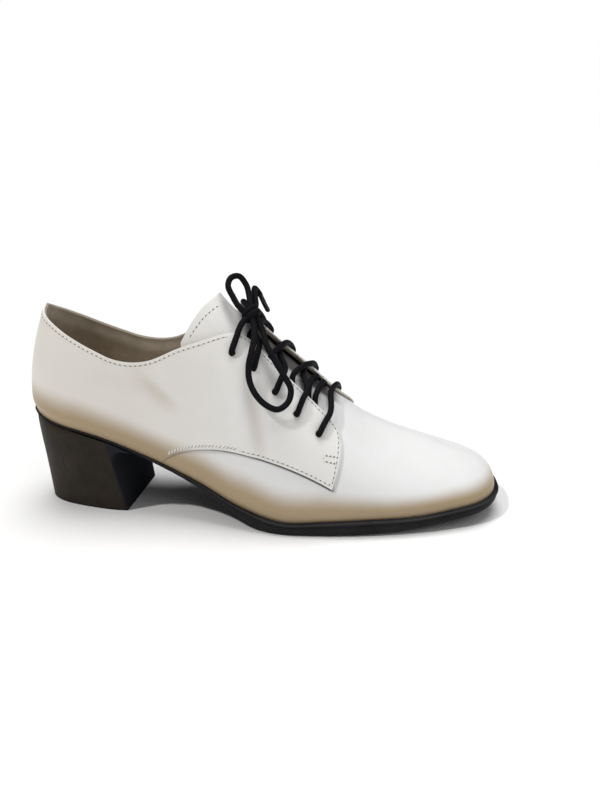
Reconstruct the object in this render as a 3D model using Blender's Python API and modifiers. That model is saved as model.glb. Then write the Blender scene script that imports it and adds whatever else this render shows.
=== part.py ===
"""Lace-up heeled shoe for the right foot: outsole, block heel, insole, upper, quarters, tongue and lace.

Sizes are in millimetres in the shoe's own frame: the back of the heel is near x = 0, the toe points
along +x, the lateral (outer) side is -y, the medial (inner) side is +y, and the floor is z = 0.
"""
import bmesh
import bpy
import numpy as np
from mathutils import Vector

MM = 0.001
Y_AXIS, Z_AXIS = 1, 2
LATERAL, MEDIAL = -1, 1


def table(columns, *rows):
    """Named columns of a short table, one row for each section."""
    return dict(zip(columns.split(), np.array(rows, dtype=float).T))


# Centre of the box around the shoe without its bow, which becomes the origin.
ORIGIN = Vector((135.39, -0.75, 0.0))

# Last: where upper and sole meet. Widths are measured from the centre line to each side.
HEEL_BACK, TOE_TIP = 1.5, 268.5
HEEL_ROUND, HEEL_POWER = 30.0, 2.15
TOE_ROUND, TOE_POWER = 24.0, 2.7
FEATHER = table(
    "x centre lateral medial height",
    (1.5, 0.0, 25.0, 25.0, 59.0),
    (28, 0.0, 28.3, 28.0, 54.0),
    (50, 0.0, 28.2, 26.5, 47.1),
    (72, 0.0, 27.2, 23.5, 37.0),
    (100, 0.0, 31.0, 22.5, 24.8),
    (124, 0.0, 37.0, 27.5, 13.6),
    (148, 0.0, 41.8, 36.0, 7.5),
    (170, 0.3, 42.0, 40.0, 8.6),
    (195, 1.0, 40.3, 39.0, 9.6),
    (222, 2.0, 36.0, 33.5, 10.0),
    (248, 3.5, 28.8, 27.5, 12.3),
    (268.5, 6.0, 22.6, 22.0, 13.6))

# Top line of the last, keyed on the share in percent of the way round from heel to toe:
# above the collar as far as 40, then along the ridge of the instep and the vamp.
CROWN = table(
    "share x lateral medial height",
    (0, 15.3, 0.0, 0.0, 122),
    (5, 18.5, -8.5, 8.5, 119),
    (10, 27, -14.5, 14.5, 113),
    (15, 36, -18.0, 18.0, 108),
    (20, 47, -21.0, 21.0, 103),
    (25, 61, -23.0, 23.0, 99),
    (30, 75, -22.5, 22.0, 100),
    (35, 90, -18.5, 19.0, 109),
    (40, 101, -9.0, 12.0, 121),
    (44, 109.5, 3.0, 3.0, 127),
    (47, 117, 3.5, 3.5, 118.5),
    (50, 126, 4.0, 4.0, 109.5),
    (55, 141.5, 4.5, 4.5, 95),
    (60, 157.5, 5.0, 5.0, 81.3),
    (65, 173.5, 5.3, 5.3, 66.8),
    (70, 189, 5.7, 5.7, 55.5),
    (75, 203, 6.1, 6.1, 48.8),
    (80, 215.5, 6.6, 6.6, 44.2),
    (85, 226.5, 7.0, 7.0, 40.4),
    (90, 236, 7.3, 7.3, 37.0),
    (95, 243, 7.5, 7.5, 34.6),
    (100, 246, 7.5, 7.5, 33.6))

# How each section climbs from the feather line to the crown: length of the upright start, its lean
# outwards in degrees, and length and fall in degrees of the last stretch under the crown.
SECTION = table(
    "share rise lateral_flare medial_flare reach fall",
    (0, 22, 4, 4, 19, 66),
    (10, 20, 5, 5, 17, 66),
    (20, 19, 4, 5, 16, 68),
    (30, 22, 3, 8, 18, 66),
    (40, 40, 3, 10, 30, 52),
    (47, 50, 2, 9, 36, 27),
    (55, 37, 1, 6, 29, 15),
    (65, 25, 2, 4, 20, 4),
    (75, 17, 4, 5, 14.5, 2),
    (85, 12, 6, 6, 12.5, 1.5),
    (92, 11, 5, 5, 12, 5),
    (100, 11, 4, 4, 12, 16))

# Pattern lines on the last. The facing runs down from the collar and turns into the front of the tab.
COLLAR = table(
    "share lateral medial",
    (0, 116.5, 116.5), (5, 112, 112), (10, 106.3, 106.3), (15, 101, 101), (20, 95.6, 95.8), (23, 92.2, 92.6),
    (27, 90.6, 91), (30, 91.8, 92.2), (35, 97.8, 98.2), (40, 101.6, 103.8), (43, 103.6, 107.8),
    (46, 105.0, 111.4), (50, 105.8, 113))
FACING = table(
    "share lateral medial",
    (46, -15.4, 11.2), (48.5, -13.4, 8.6), (51.5, -14.0, 6.8), (55, -15.0, 6.1), (59, -16.8, 6.0),
    (61, -18.0, 6.6), (62.4, -18.9, 8.0), (63.4, -19.9, 10.2), (64.0, -21.6, 13.6), (64.4, -26.5, 19.5))
FACING_TOP, SLOT_CLOSES, THROAT_END = 46.0, 58.0, 64.5
SEAM = table(
    "share height",
    (30.7, 35.0), (33, 39.6), (36, 43.2), (40, 45.4), (43.5, 45.7), (48, 44.3), (52, 41.2),
    (56, 36.5), (59.5, 31.4), (62.4, 26.4))
TAB_EDGE = table(
    "climb shift",
    (0, 0.0), (0.3, 0.8), (0.6, 1.5), (1, 2.0))
SEAM_START, TAB_CORNER, TAB_BLEND = 30.7, 62.4, 52.0
TAB_AHEAD = {LATERAL: 0.0, MEDIAL: 3.5}
TAB_STEPS, TAB_EASE = 7, 2
BACK_SEAM = 0.13
TONGUE_TOP = table(
    "share height",
    (35.6, 101.5), (37.5, 109.5), (39.5, 115.8), (41.6, 120.8), (44, 124.8))
TONGUE_SIDE = table(
    "share lateral medial",
    (35.6, -23.8, 23.8), (40, -25.5, 25.0), (50, -24.5, 22.5), (60, -24.0, 21.0), (67, -20.0, 21.0))
TONGUE_BACK, TONGUE_TIP, TONGUE_FOOT = 35.6, 44.0, 67.0

# Sections that the lofted pieces are built from: stretches of the share, steps in each and how much
# closer together they get towards its end.
COLUMN_RUNS = table(
    "start end steps ease",
    (0, 40, 14, 1), (40, 50, 6, 1), (50, 58, 4, 1), (58, 64.5, 7, 2), (64.5, 85, 8, 1), (85, 100, 6, 1))
ROWS = np.array([0, 0.08, 0.19, 0.31, 0.43, 0.55, 0.67, 0.79, 0.90, 1.0])
TONGUE_ROWS = np.linspace(0, 1, 7)

# Wall thicknesses and clearances.
GAP = 0.35
WELD = 0.002
UPPER_WALL = 1.6
QUARTER_WALL = 1.2
TONGUE_WALL = 1.6
INSOLE_WALL = 2.0
QUARTER_FACE = 0.45 + QUARTER_WALL
TONGUE_FACE = UPPER_WALL + 0.9

# Outsole: how far it stands out from the feather line, and its underside.
SOLE = table(
    "x margin underside",
    (0, 1.4, 57.2), (28, 1.4, 52.1), (50, 1.4, 44.9), (72, 1.5, 34.2), (100, 1.9, 20.6), (114, 2.2, 12.6),
    (126, 2.6, 5.2), (135, 2.8, 1.2), (142, 2.9, 0.0), (176, 2.9, 0.0), (200, 2.9, 1.0), (225, 2.9, 3.0),
    (247, 2.8, 5.2), (271, 2.6, 7.6))
SOLE_EDGE = table(
    "share inset",
    (0, 0.0), (0.19, 0.0), (0.23, 0.7), (0.80, 0.8), (1.0, 2.0))

# Heel block: how its outline moves from the seat, level 0, down to the floor, level 1.
HEEL_MARGIN, HEEL_FRONT = 0.7, {LATERAL: 52.0, MEDIAL: 54.9}
HEEL_SHARES = np.array([0, 2, 4, 6, 8, 10.5, 13, 16, 19, 22.6])
HEEL_LEVELS = table(
    "level back front width taper",
    (0, 0.0, 10.0, 1.0, 0.0), (0.04, 0.1, 5.4, 0.995, 0.0), (0.10, 0.2, 1.8, 0.985, 0.01),
    (0.20, 0.4, -0.8, 0.968, 0.03), (0.45, 0.9, 0.2, 0.92, 0.08), (0.75, 1.4, 2.2, 0.865, 0.14),
    (1.0, 1.8, 3.8, 0.82, 0.18))
HEEL_TAPER_BACK, HEEL_TAPER_FRONT = 0.35, 0.95

# Lace holes and lace.
HOLE_COUNT = 5
HOLE_RADIUS, HOLE_SIDES, PUNCH_DEPTH = 2.2, 10, 12.0
HOLES = table(
    "side first step width spread",
    (LATERAL, 45.7, 3.7, -21.3, -1.6), (MEDIAL, 47.0, 4.4, 17.6, 0.8))
LACE_RADIUS = 2.0
LACE_LIFT = QUARTER_FACE + GAP + LACE_RADIUS
GAP_MIDDLE, GAP_LIFT = -4.0, {LATERAL: 0.5, MEDIAL: 0.1}
TUCK_WIDTH, TUCK_LIFT = 3.4, 0.9
LACE_LEAN = {LATERAL: 1.6, MEDIAL: 0.0}
FAR_TUCK = {LATERAL: -0.6, MEDIAL: -0.2}
LOWEST_FROM = {LATERAL: -0.6, MEDIAL: -1.5}
LOWEST_TO = {LATERAL: 1.5, MEDIAL: 3.4}
KNOT_CENTRE = Vector((128.9, -8.2, 114.4))
KNOT_SIZE = (9.0, 12.0, 7.4)
TOP_STRAND_POINTS = {LATERAL: 1, MEDIAL: 3}
TO_KNOT = {
    LATERAL: ((122.6, -19.6, 104.9), (124.6, -14.2, 110.2)),
    MEDIAL: ((121.3, 7.2, 120.8), (124.8, 1.0, 117.9))}

# Free ends of the bow, from the knot outwards.
LACE_ROUTES = {
    "lace_loop_lateral": (
        (131.4, -15.6, 107.8), (132.0, -19.8, 104.7), (131.3, -26.2, 98.2), (130.2, -29.4, 92.2),
        (130.7, -32.5, 85.1), (133.9, -35.7, 78.8), (139.4, -36.2, 72.8), (145.7, -34.9, 69.9),
        (150.7, -31.7, 72.9), (152.0, -28.9, 78.1), (147.6, -26.0, 86.3), (142.0, -21.6, 93.8),
        (137.9, -18.2, 100.4), (136.0, -13.6, 105.0)),
    "lace_loop_upper": (
        (122.6, -8.0, 117.6), (118.6, -4.6, 122.5), (115.5, -1.0, 128.2), (116.7, 2.6, 131.6),
        (120.4, 5.6, 132.0), (124.2, 4.6, 128.0), (126.6, 0.6, 122.2), (127.8, -4.4, 118.8)),
    "lace_end_upper": (
        (130.2, 0.6, 117.6), (128.8, 6.0, 122.2), (128.2, 11.4, 124.4), (130.2, 14.8, 120.8),
        (133.0, 17.2, 113.8), (134.8, 19.6, 109.4)),
    "lace_end_medial": (
        (131.4, -1.6, 113.2), (130.4, 3.4, 113.4), (129.4, 9.0, 112.4), (130.0, 12.4, 110.7),
        (130.8, 15.8, 108.4), (131.5, 19.2, 105.5), (132.2, 22.6, 101.9), (132.6, 25.0, 98.9)),
}
ROUTE_STEP = 6.0

MATERIALS = table(
    "red green blue roughness",
    (0.020, 0.020, 0.022, 0.50), (0.030, 0.026, 0.022, 0.38), (0.60, 0.50, 0.38, 0.70),
    (0.80, 0.80, 0.78, 0.36), (0.76, 0.74, 0.70, 0.36), (0.010, 0.010, 0.012, 0.60))
SOLE_BLACK, HEEL_BLACK, INSOLE_TAN, VAMP_WHITE, QUARTER_WHITE, LACE_BLACK = range(6)


def smooth(rows, key, column, at):
    """Cubic curve through a table's rows, read at the given keys."""
    keys, values = rows[key], rows[column]
    at = np.asarray(at, dtype=float)
    step = np.diff(keys)
    rise = np.diff(values) / step
    slope = np.empty_like(values)
    slope[1:-1] = (rise[:-1] * step[1:] + rise[1:] * step[:-1]) / (step[1:] + step[:-1])
    slope[0] = 1.5 * rise[0] - 0.5 * slope[1]
    slope[-1] = 1.5 * rise[-1] - 0.5 * slope[-2]
    i = np.clip(np.searchsorted(keys, at, side="right") - 1, 0, len(keys) - 2)
    t = (at - keys[i]) / step[i]
    start = (2 * t**3 - 3 * t**2 + 1) * values[i] + (t**3 - 2 * t**2 + t) * step[i] * slope[i]
    return start + (3 * t**2 - 2 * t**3) * values[i + 1] + (t**3 - t**2) * step[i] * slope[i + 1]


def straight(rows, key, column, at):
    """Straight lines through a table's rows, read at the given keys."""
    return np.interp(at, rows[key], rows[column])


def ease(low, high, at):
    """0 below low, 1 above high, and a soft turn between them."""
    t = np.clip((at - low) / (high - low), 0, 1)
    return t * t * (3 - 2 * t)


def side_name(side):
    return "lateral" if side == LATERAL else "medial"


def trace_outline(side, samples=1500):
    """Feather line of one side, heel to toe, with the share of the way at each sample."""
    turn = np.linspace(0, np.pi, samples)
    x = HEEL_BACK + (TOE_TIP - HEEL_BACK) * (1 - np.cos(turn)) / 2
    heel = np.clip((HEEL_BACK + HEEL_ROUND - x) / HEEL_ROUND, 0, 1)
    toe = np.clip((x - TOE_TIP + TOE_ROUND) / TOE_ROUND, 0, 1)
    close = (1 - heel**HEEL_POWER)**(1 / HEEL_POWER) * (1 - toe**TOE_POWER)**(1 / TOE_POWER)
    half = close * smooth(FEATHER, "x", side_name(side), x)
    y = smooth(FEATHER, "x", "centre", x) + side * half
    z = smooth(FEATHER, "x", "height", x)
    run = np.concatenate([[0], np.cumsum(np.hypot(np.diff(x), np.diff(y)))])
    return np.stack([x, y, z], axis=1), 100 * run / run[-1]


OUTLINES = {side: trace_outline(side) for side in (LATERAL, MEDIAL)}


def feather(side, share):
    """Point of the feather line."""
    points, run = OUTLINES[side]
    return np.stack([np.interp(share, run, points[:, axis]) for axis in range(3)], axis=-1)


def feather_out(side, share, reach=0.6):
    """Level direction straight out of the feather line."""
    ahead = feather(side, np.clip(share + reach, 0, 100))
    behind = feather(side, np.clip(share - reach, 0, 100))
    along = ahead - behind
    out = np.stack([along[..., 1], -along[..., 0], np.zeros_like(along[..., 0])], axis=-1) * -side
    ends = (np.asarray(share) <= 0) | (np.asarray(share) >= 100)
    out[..., 1] = np.where(ends, 0, out[..., 1])
    return out / np.linalg.norm(out, axis=-1, keepdims=True)


def crown(side, share):
    """Point of the last's top line."""
    columns = ("x", side_name(side), "height")
    return np.stack([smooth(CROWN, "share", name, share) for name in columns], axis=-1)


def form(side, share, climb):
    """Surface of the last: one cubic section for each share, climb 0 at the feather line, 1 at the crown."""
    share, climb = np.broadcast_arrays(np.asarray(share, dtype=float), np.asarray(climb, dtype=float))
    foot, top = feather(side, share), crown(side, share)
    out = (foot - top) * (1, 1, 0)
    out = out / np.linalg.norm(out, axis=-1, keepdims=True)
    up = np.array((0.0, 0.0, 1.0))
    values = {name: smooth(SECTION, "share", name, share)[..., None] for name in SECTION}
    flare = np.radians(values[side_name(side) + "_flare"])
    fall = np.radians(values["fall"])
    low = foot + values["rise"] * (np.sin(flare) * out + np.cos(flare) * up)
    high = top + values["reach"] * (np.cos(fall) * out - np.sin(fall) * up)
    c = climb[..., None]
    return (1 - c)**3 * foot + 3 * c * (1 - c)**2 * low + 3 * c**2 * (1 - c) * high + c**3 * top


def skin(side, share, climb, lift):
    """Point at a distance from the last, along its own normal."""
    share, climb = np.broadcast_arrays(np.asarray(share, dtype=float), np.asarray(climb, dtype=float))
    d_share, d_climb = 0.2, 0.002
    along = form(side, np.clip(share + d_share, 0, 100), climb)
    along = along - form(side, np.clip(share - d_share, 0, 100), climb)
    upward = form(side, share, np.clip(climb + d_climb, 0, 1))
    upward = upward - form(side, share, np.clip(climb - d_climb, 0, 1))
    normal = np.cross(along, upward) * -side
    middle = (share <= 0) | (share >= 100) | (climb >= 1)
    normal[..., 1] = np.where(middle, 0, normal[..., 1])
    normal = normal / np.linalg.norm(normal, axis=-1, keepdims=True)
    return form(side, share, climb) + lift * normal


def climb_where(side, share, axis, value):
    """Climb at which a section reaches a height, or a width on its way in to the ridge."""
    share, value = np.broadcast_arrays(np.asarray(share, dtype=float), np.asarray(value, dtype=float))
    low, high = np.zeros_like(share), np.ones_like(share)
    for _ in range(40):
        middle = (low + high) / 2
        reached = form(side, share, middle)[..., axis]
        short = reached < value if axis == Z_AXIS else side * reached > side * value
        low, high = np.where(short, middle, low), np.where(short, high, middle)
    return (low + high) / 2


def pattern_share(side, share):
    """Share at which the pattern lines are read: the medial tab lies a little further forward."""
    ahead = TAB_AHEAD[side]
    return share - ahead * np.clip((share - TAB_BLEND) / (TAB_CORNER + ahead - TAB_BLEND), 0, 1)


def collar_climb(side, share):
    height = smooth(COLLAR, "share", side_name(side), np.minimum(share, COLLAR["share"][-1]))
    return climb_where(side, share, Z_AXIS, height)


def quarter_rim(side, share):
    """Upper edge of a quarter: the collar, the facing and its turn into the tab."""
    drawn = np.clip(pattern_share(side, share), FACING_TOP, FACING["share"][-1])
    facing = climb_where(side, share, Y_AXIS, smooth(FACING, "share", side_name(side), drawn))
    return np.where(share < FACING_TOP, collar_climb(side, share), facing)


def upper_rim(side, share):
    """Upper edge of the vamp and its backing: the collar and the slot of the throat, closed at its front."""
    drawn = np.clip(pattern_share(side, share), FACING_TOP, SLOT_CLOSES)
    ridge = crown(side, share)[..., Y_AXIS]
    part = np.clip((share - SLOT_CLOSES) / (THROAT_END - SLOT_CLOSES), 0, 1)
    edge = ridge + (smooth(FACING, "share", side_name(side), drawn) - ridge) * np.sqrt(1 - part**2)
    rim = np.where(share < FACING_TOP, collar_climb(side, share), climb_where(side, share, Y_AXIS, edge))
    return np.where(share >= THROAT_END, 1.0, rim)


def seam_climb(side, share):
    """Lower edge of a quarter: the feather line, then the seam that sweeps up and along to the tab."""
    drawn = np.clip(pattern_share(side, share), SEAM_START, TAB_CORNER)
    climb = climb_where(side, share, Z_AXIS, smooth(SEAM, "share", "height", drawn))
    return np.where(share <= SEAM_START, 0.0, climb)


def column_run(start, end, steps, ease):
    """Shares from start to end, both included."""
    return end - (end - start) * (1 - np.linspace(0, 1, int(steps) + 1))**ease


def column_shares():
    """Shares of the sections, closer together at the throat and the toe."""
    runs = zip(*(COLUMN_RUNS[name] for name in COLUMN_RUNS))
    return np.concatenate([column_run(*run)[:-1] for run in runs] + [[100.0]])


SHARES = column_shares()


def principled(name, look):
    """One plain material for one piece."""
    material = bpy.data.materials.new(name)
    material.use_nodes = True
    shader = material.node_tree.nodes["Principled BSDF"]
    colour = [float(MATERIALS[channel][look]) for channel in ("red", "green", "blue")]
    shader.inputs["Base Color"].default_value = (*colour, 1.0)
    shader.inputs["Roughness"].default_value = float(MATERIALS["roughness"][look])
    return material


def add_object(name, data, look, collection):
    """Put a mesh or curve in the collection under a piece's name, with its own material."""
    piece = bpy.data.objects.new(name, data)
    collection.objects.link(piece)
    data.materials.append(principled(name, look))
    return piece


def mesh_from_patches(name, patches, closed):
    """Mesh of point grids with welded edges; each patch is a grid and whether it is turned over."""
    bm = bmesh.new()
    for grid, turned in patches:
        verts = [[bm.verts.new((Vector(point) - ORIGIN) * MM) for point in line] for line in grid]
        for a, b in zip(verts[:-1], verts[1:]):
            for k in range(len(a) - 1):
                corners = (a[k], b[k], b[k + 1], a[k + 1])
                bm.faces.new(corners[::-1] if turned else corners)
    bmesh.ops.remove_doubles(bm, verts=bm.verts, dist=WELD * MM)
    if closed:
        bmesh.ops.recalc_face_normals(bm, faces=bm.faces)
    bmesh.ops.triangulate(bm, faces=bm.faces, quad_method="FIXED")
    mesh = bpy.data.meshes.new(name)
    bm.to_mesh(mesh)
    bm.free()
    mesh.shade_smooth()
    return mesh


def add_wall(piece, thickness):
    """Give an open surface its thickness on the inside."""
    wall = piece.modifiers.new("wall", "SOLIDIFY")
    wall.thickness = thickness * MM
    wall.offset = -1.0


def add_boolean(piece, other, operation):
    cut = piece.modifiers.new(operation.lower(), "BOOLEAN")
    cut.object = other
    cut.operation = operation


def rung_patch(lateral, medial):
    """Level face across a piece, from its lateral edge to its medial edge."""
    return np.stack([lateral, medial], axis=1), False


def plate(name, rings_of, look, collection):
    """Closed piece with an edge wall on both sides and flat rungs across its top and underside."""
    rings = {side: rings_of(side) for side in (LATERAL, MEDIAL)}
    patches = [(np.stack(rings[side], axis=1), side == MEDIAL) for side in rings]
    patches.append(rung_patch(rings[LATERAL][0], rings[MEDIAL][0]))
    patches.append(rung_patch(rings[LATERAL][-1], rings[MEDIAL][-1]))
    return add_object(name, mesh_from_patches(name, patches, closed=True), look, collection)


def sole_rings(side):
    """Edge of the outsole from its top to its underside: rand, groove, wall and bevel."""
    foot, out = feather(side, SHARES), feather_out(side, SHARES)
    margin = smooth(SOLE, "x", "margin", foot[:, 0])[:, None]
    top = foot[:, 2] - GAP
    under = straight(SOLE, "x", "underside", (foot + out * margin)[:, 0])
    rings = []
    for share, inset in zip(SOLE_EDGE["share"], SOLE_EDGE["inset"]):
        ring = foot + out * (margin - inset)
        ring[:, 2] = top + (under - top) * share
        rings.append(ring)
    return rings


def insole_rings(side):
    """Edge of the insole, clear of the upper's inside."""
    shares = np.append(SHARES[:-1:2], SHARES[-1])
    foot, out = feather(side, shares), feather_out(side, shares)
    edge = foot - out * (UPPER_WALL + 2 * GAP)
    return [edge + (0, 0, GAP + INSOLE_WALL), edge + (0, 0, GAP)]


def make_heel(collection):
    """Block heel: the seat's outline drawn in and moved forward on its way down."""
    def rings_of(side):
        foot = feather(side, HEEL_SHARES) + feather_out(side, HEEL_SHARES) * HEEL_MARGIN
        back, front = foot[0, 0], HEEL_FRONT[side]
        rings = []
        along = (foot[:, 0] - back) / (foot[-1, 0] - back)
        rear = 1 - ease(HEEL_TAPER_BACK, HEEL_TAPER_FRONT, along)
        for level, back_in, front_on, width, taper in zip(*(HEEL_LEVELS[name] for name in HEEL_LEVELS)):
            x = back + back_in + along * (front + front_on - back - back_in)
            seat = straight(SOLE, "x", "underside", x) - GAP
            rings.append(np.stack([x, foot[:, 1] * width * (1 - taper * rear), seat * (1 - level)], axis=1))
        return rings
    rings = {side: rings_of(side) for side in (LATERAL, MEDIAL)}
    patches = [(np.stack(rings[side], axis=1), side == MEDIAL) for side in rings]
    patches.append(rung_patch(rings[LATERAL][0], rings[MEDIAL][0]))
    patches.append(rung_patch(rings[LATERAL][-1], rings[MEDIAL][-1]))
    breast = [np.array([ring[-1] for ring in rings[side]]) for side in (LATERAL, MEDIAL)]
    patches.append(rung_patch(*breast))
    return add_object("heel", mesh_from_patches("heel", patches, closed=True), HEEL_BLACK, collection)


def make_upper(collection):
    """Lasted vamp and backing: one wall, open at the collar, the throat and underneath."""
    patches = []
    for side in (LATERAL, MEDIAL):
        climbs = upper_rim(side, SHARES)[:, None] * ROWS
        patches.append((form(side, SHARES[:, None], climbs), side == MEDIAL))
    piece = add_object("upper", mesh_from_patches("upper", patches, closed=False), VAMP_WHITE, collection)
    add_wall(piece, UPPER_WALL)
    return piece


def make_quarter(side, collection):
    """Outer quarter, lapped over the vamp: collar, facing, tab and the seam down to the sole."""
    corner = TAB_CORNER + TAB_AHEAD[side]
    tab = column_run(SLOT_CLOSES, corner, TAB_STEPS, TAB_EASE)
    columns = np.concatenate([SHARES[SHARES < SLOT_CLOSES], tab])
    columns[0] = BACK_SEAM
    blend = np.clip((columns - TAB_BLEND) / (corner - TAB_BLEND), 0, 1)[:, None]
    share = columns[:, None] + blend * smooth(TAB_EDGE, "climb", "shift", ROWS)
    seam = seam_climb(side, columns)[:, None]
    rim = quarter_rim(side, share[:, -1])[:, None]
    climb = seam + ROWS * (rim - seam)
    name = "quarter_" + side_name(side)
    grid = skin(side, share, climb, QUARTER_FACE)
    mesh = mesh_from_patches(name, [(grid, side == MEDIAL)], closed=False)
    piece = add_object(name, mesh, QUARTER_WHITE, collection)
    add_wall(piece, QUARTER_WALL)
    return piece


def make_tongue(collection):
    """Tongue under the facings, with its pointed top above the collar."""
    inner = SHARES[(SHARES > TONGUE_BACK + 1) & (SHARES < TONGUE_FOOT - 1)]
    shares = np.unique(np.concatenate([inner, [TONGUE_BACK, TONGUE_TIP, TONGUE_FOOT]]))
    patches = []
    for side in (LATERAL, MEDIAL):
        low = climb_where(side, shares, Y_AXIS, smooth(TONGUE_SIDE, "share", side_name(side), shares))
        top_height = smooth(TONGUE_TOP, "share", "height", np.minimum(shares, TONGUE_TIP))
        top = climb_where(side, shares, Z_AXIS, top_height)
        top = np.where(shares >= TONGUE_TIP, 1.0, top)
        climbs = low[:, None] + TONGUE_ROWS * (top - low)[:, None]
        patches.append((skin(side, shares[:, None], climbs, -TONGUE_FACE), side == MEDIAL))
    piece = add_object("tongue", mesh_from_patches("tongue", patches, closed=False), VAMP_WHITE, collection)
    add_wall(piece, TONGUE_WALL)
    return piece


def hole_spot(side, index):
    """Share and width of a lace hole, counted down from the collar."""
    row = list(HOLES["side"]).index(side)
    first, step, width, spread = (HOLES[name][row] for name in ("first", "step", "width", "spread"))
    return first + step * index, width + spread * index


def over(side, share, width, lift):
    """Point above the last at a share and a width."""
    return skin(side, share, climb_where(side, share, Y_AXIS, width), lift)


def facing_width(side, share):
    drawn = np.clip(pattern_share(side, share), FACING_TOP, FACING["share"][-1])
    return smooth(FACING, "share", side_name(side), drawn)


def make_hole_cutter(side, collection):
    """Punches for the five lace holes of one side, square to the leather."""
    bm = bmesh.new()
    for index in range(HOLE_COUNT):
        share, width = hole_spot(side, index)
        spot = Vector(over(side, share, width, 0.0))
        axis = Vector(over(side, share, width, 1.0)) - spot
        place = Vector((0, 0, 1)).rotation_difference(axis).to_matrix().to_4x4()
        place.translation = (spot - ORIGIN) * MM
        bmesh.ops.create_cone(
            bm, cap_ends=True, segments=HOLE_SIDES, radius1=HOLE_RADIUS * MM, radius2=HOLE_RADIUS * MM,
            depth=PUNCH_DEPTH * MM, matrix=place)
    return add_cutter("holes_" + side_name(side), bm, collection)


def add_cutter(name, bm, collection):
    mesh = bpy.data.meshes.new(name)
    bm.to_mesh(mesh)
    bm.free()
    cutter = bpy.data.objects.new(name, mesh)
    collection.objects.link(cutter)
    cutter.hide_render = True
    cutter.display_type = "WIRE"
    return cutter


def route_points(points):
    """Evenly spaced points along a smooth curve through a route's own points."""
    points = np.array(points, dtype=float)
    run = np.concatenate([[0], np.cumsum(np.linalg.norm(np.diff(points, axis=0), axis=1))])
    rows = {"run": run, "x": points[:, 0], "y": points[:, 1], "z": points[:, 2]}
    at = np.linspace(0, run[-1], int(round(run[-1] / ROUTE_STEP)) + 1)
    return np.stack([smooth(rows, "run", axis, at) for axis in "xyz"], axis=1)


def lace_curve(name, points):
    """Round cord along a route."""
    route = route_points(points)
    curve = bpy.data.curves.new(name, "CURVE")
    curve.dimensions = "3D"
    curve.bevel_depth = LACE_RADIUS * MM
    curve.bevel_resolution = 2
    curve.use_fill_caps = True
    spline = curve.splines.new("POLY")
    spline.points.add(len(route) - 1)
    for target, point in zip(spline.points, route):
        target.co = (*((Vector(point) - ORIGIN) * MM), 1.0)
    return curve


def lace_bmesh(name, points):
    """Closed mesh of a length of lace, for joining to another."""
    curve = lace_curve(name, points)
    holder = bpy.data.objects.new(name, curve)
    bpy.context.scene.collection.objects.link(holder)
    graph = bpy.context.evaluated_depsgraph_get()
    mesh = bpy.data.meshes.new_from_object(holder.evaluated_get(graph))
    bm = bmesh.new()
    bm.from_mesh(mesh)
    bmesh.ops.remove_doubles(bm, verts=bm.verts, dist=WELD * MM)
    bpy.data.objects.remove(holder, do_unlink=True)
    bpy.data.curves.remove(curve)
    bpy.data.meshes.remove(mesh)
    return bm


def make_lace_bar(collection):
    """Straight bar across the lowest holes, over both facings."""
    index = HOLE_COUNT - 1
    points = over_facing(LATERAL, index, LACE_LEAN[LATERAL]) + over_facing(MEDIAL, index)[::-1]
    add_object("lace_bar", lace_curve("lace_bar", points), LACE_BLACK, collection)


def over_facing(side, index, lean=0.0):
    """Points of the lace from a hole to the edge of its facing, leaning forward on the way."""
    share, width = hole_spot(side, index)
    shares = np.linspace(share, share + lean, 3)
    widths = np.linspace(width, facing_width(side, shares[-1]), 3)
    return [over(side, at, across, LACE_LIFT) for at, across in zip(shares, widths)]


def in_gap(share, width, lift):
    """Point between the facings, whichever side of the ridge it lies on."""
    side = LATERAL if width < crown(LATERAL, share)[Y_AXIS] else MEDIAL
    return over(side, share, width, lift)


def tucked(side, share):
    """Point just short of a facing's edge, where the lace goes under it."""
    return in_gap(share, facing_width(side, share) - side * TUCK_WIDTH, TUCK_LIFT)


def strand(side, index):
    """One half of a crossing: from its own facing, or from under it at the lowest holes, to the far one."""
    share = hole_spot(side, index)[0]
    if index == HOLE_COUNT - 1:
        share = share + LOWEST_FROM[side]
        far_share = hole_spot(-side, index - 1)[0] + LOWEST_TO[side]
        start = [tucked(side, share)]
    else:
        far_share = hole_spot(-side, index)[0] + FAR_TUCK[side]
        start = over_facing(side, index, LACE_LEAN[side])
        share = share + LACE_LEAN[side]
    middle = in_gap((share + far_share) / 2, GAP_MIDDLE, GAP_LIFT[side])
    return start + [middle, tucked(-side, far_share)]


def make_lace_crossing(index, shoe, cutters):
    """Two strands that cross between the facings, joined where they touch."""
    name = "lace_crossing_%d" % index
    bm = lace_bmesh(name, strand(LATERAL, index))
    mesh = bpy.data.meshes.new(name)
    bm.to_mesh(mesh)
    bm.free()
    mesh.shade_smooth()
    piece = add_object(name, mesh, LACE_BLACK, shoe)
    other = add_cutter(name + "_second", lace_bmesh(name + "_second", strand(MEDIAL, index)), cutters)
    add_boolean(piece, other, "UNION")


def make_top_strand(side, collection):
    """Lace from the top hole over the facing to the knot."""
    name = "lace_strand_" + side_name(side)
    points = over_facing(side, 0)[:TOP_STRAND_POINTS[side]] + list(TO_KNOT[side])
    add_object(name, lace_curve(name, points), LACE_BLACK, collection)


def make_knot(collection):
    bm = bmesh.new()
    bmesh.ops.create_uvsphere(bm, u_segments=12, v_segments=8, radius=0.5)
    bmesh.ops.scale(bm, vec=[size * MM for size in KNOT_SIZE], verts=bm.verts)
    bmesh.ops.translate(bm, vec=(KNOT_CENTRE - ORIGIN) * MM, verts=bm.verts)
    mesh = bpy.data.meshes.new("lace_knot")
    bm.to_mesh(mesh)
    bm.free()
    mesh.shade_smooth()
    add_object("lace_knot", mesh, LACE_BLACK, collection)


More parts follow.
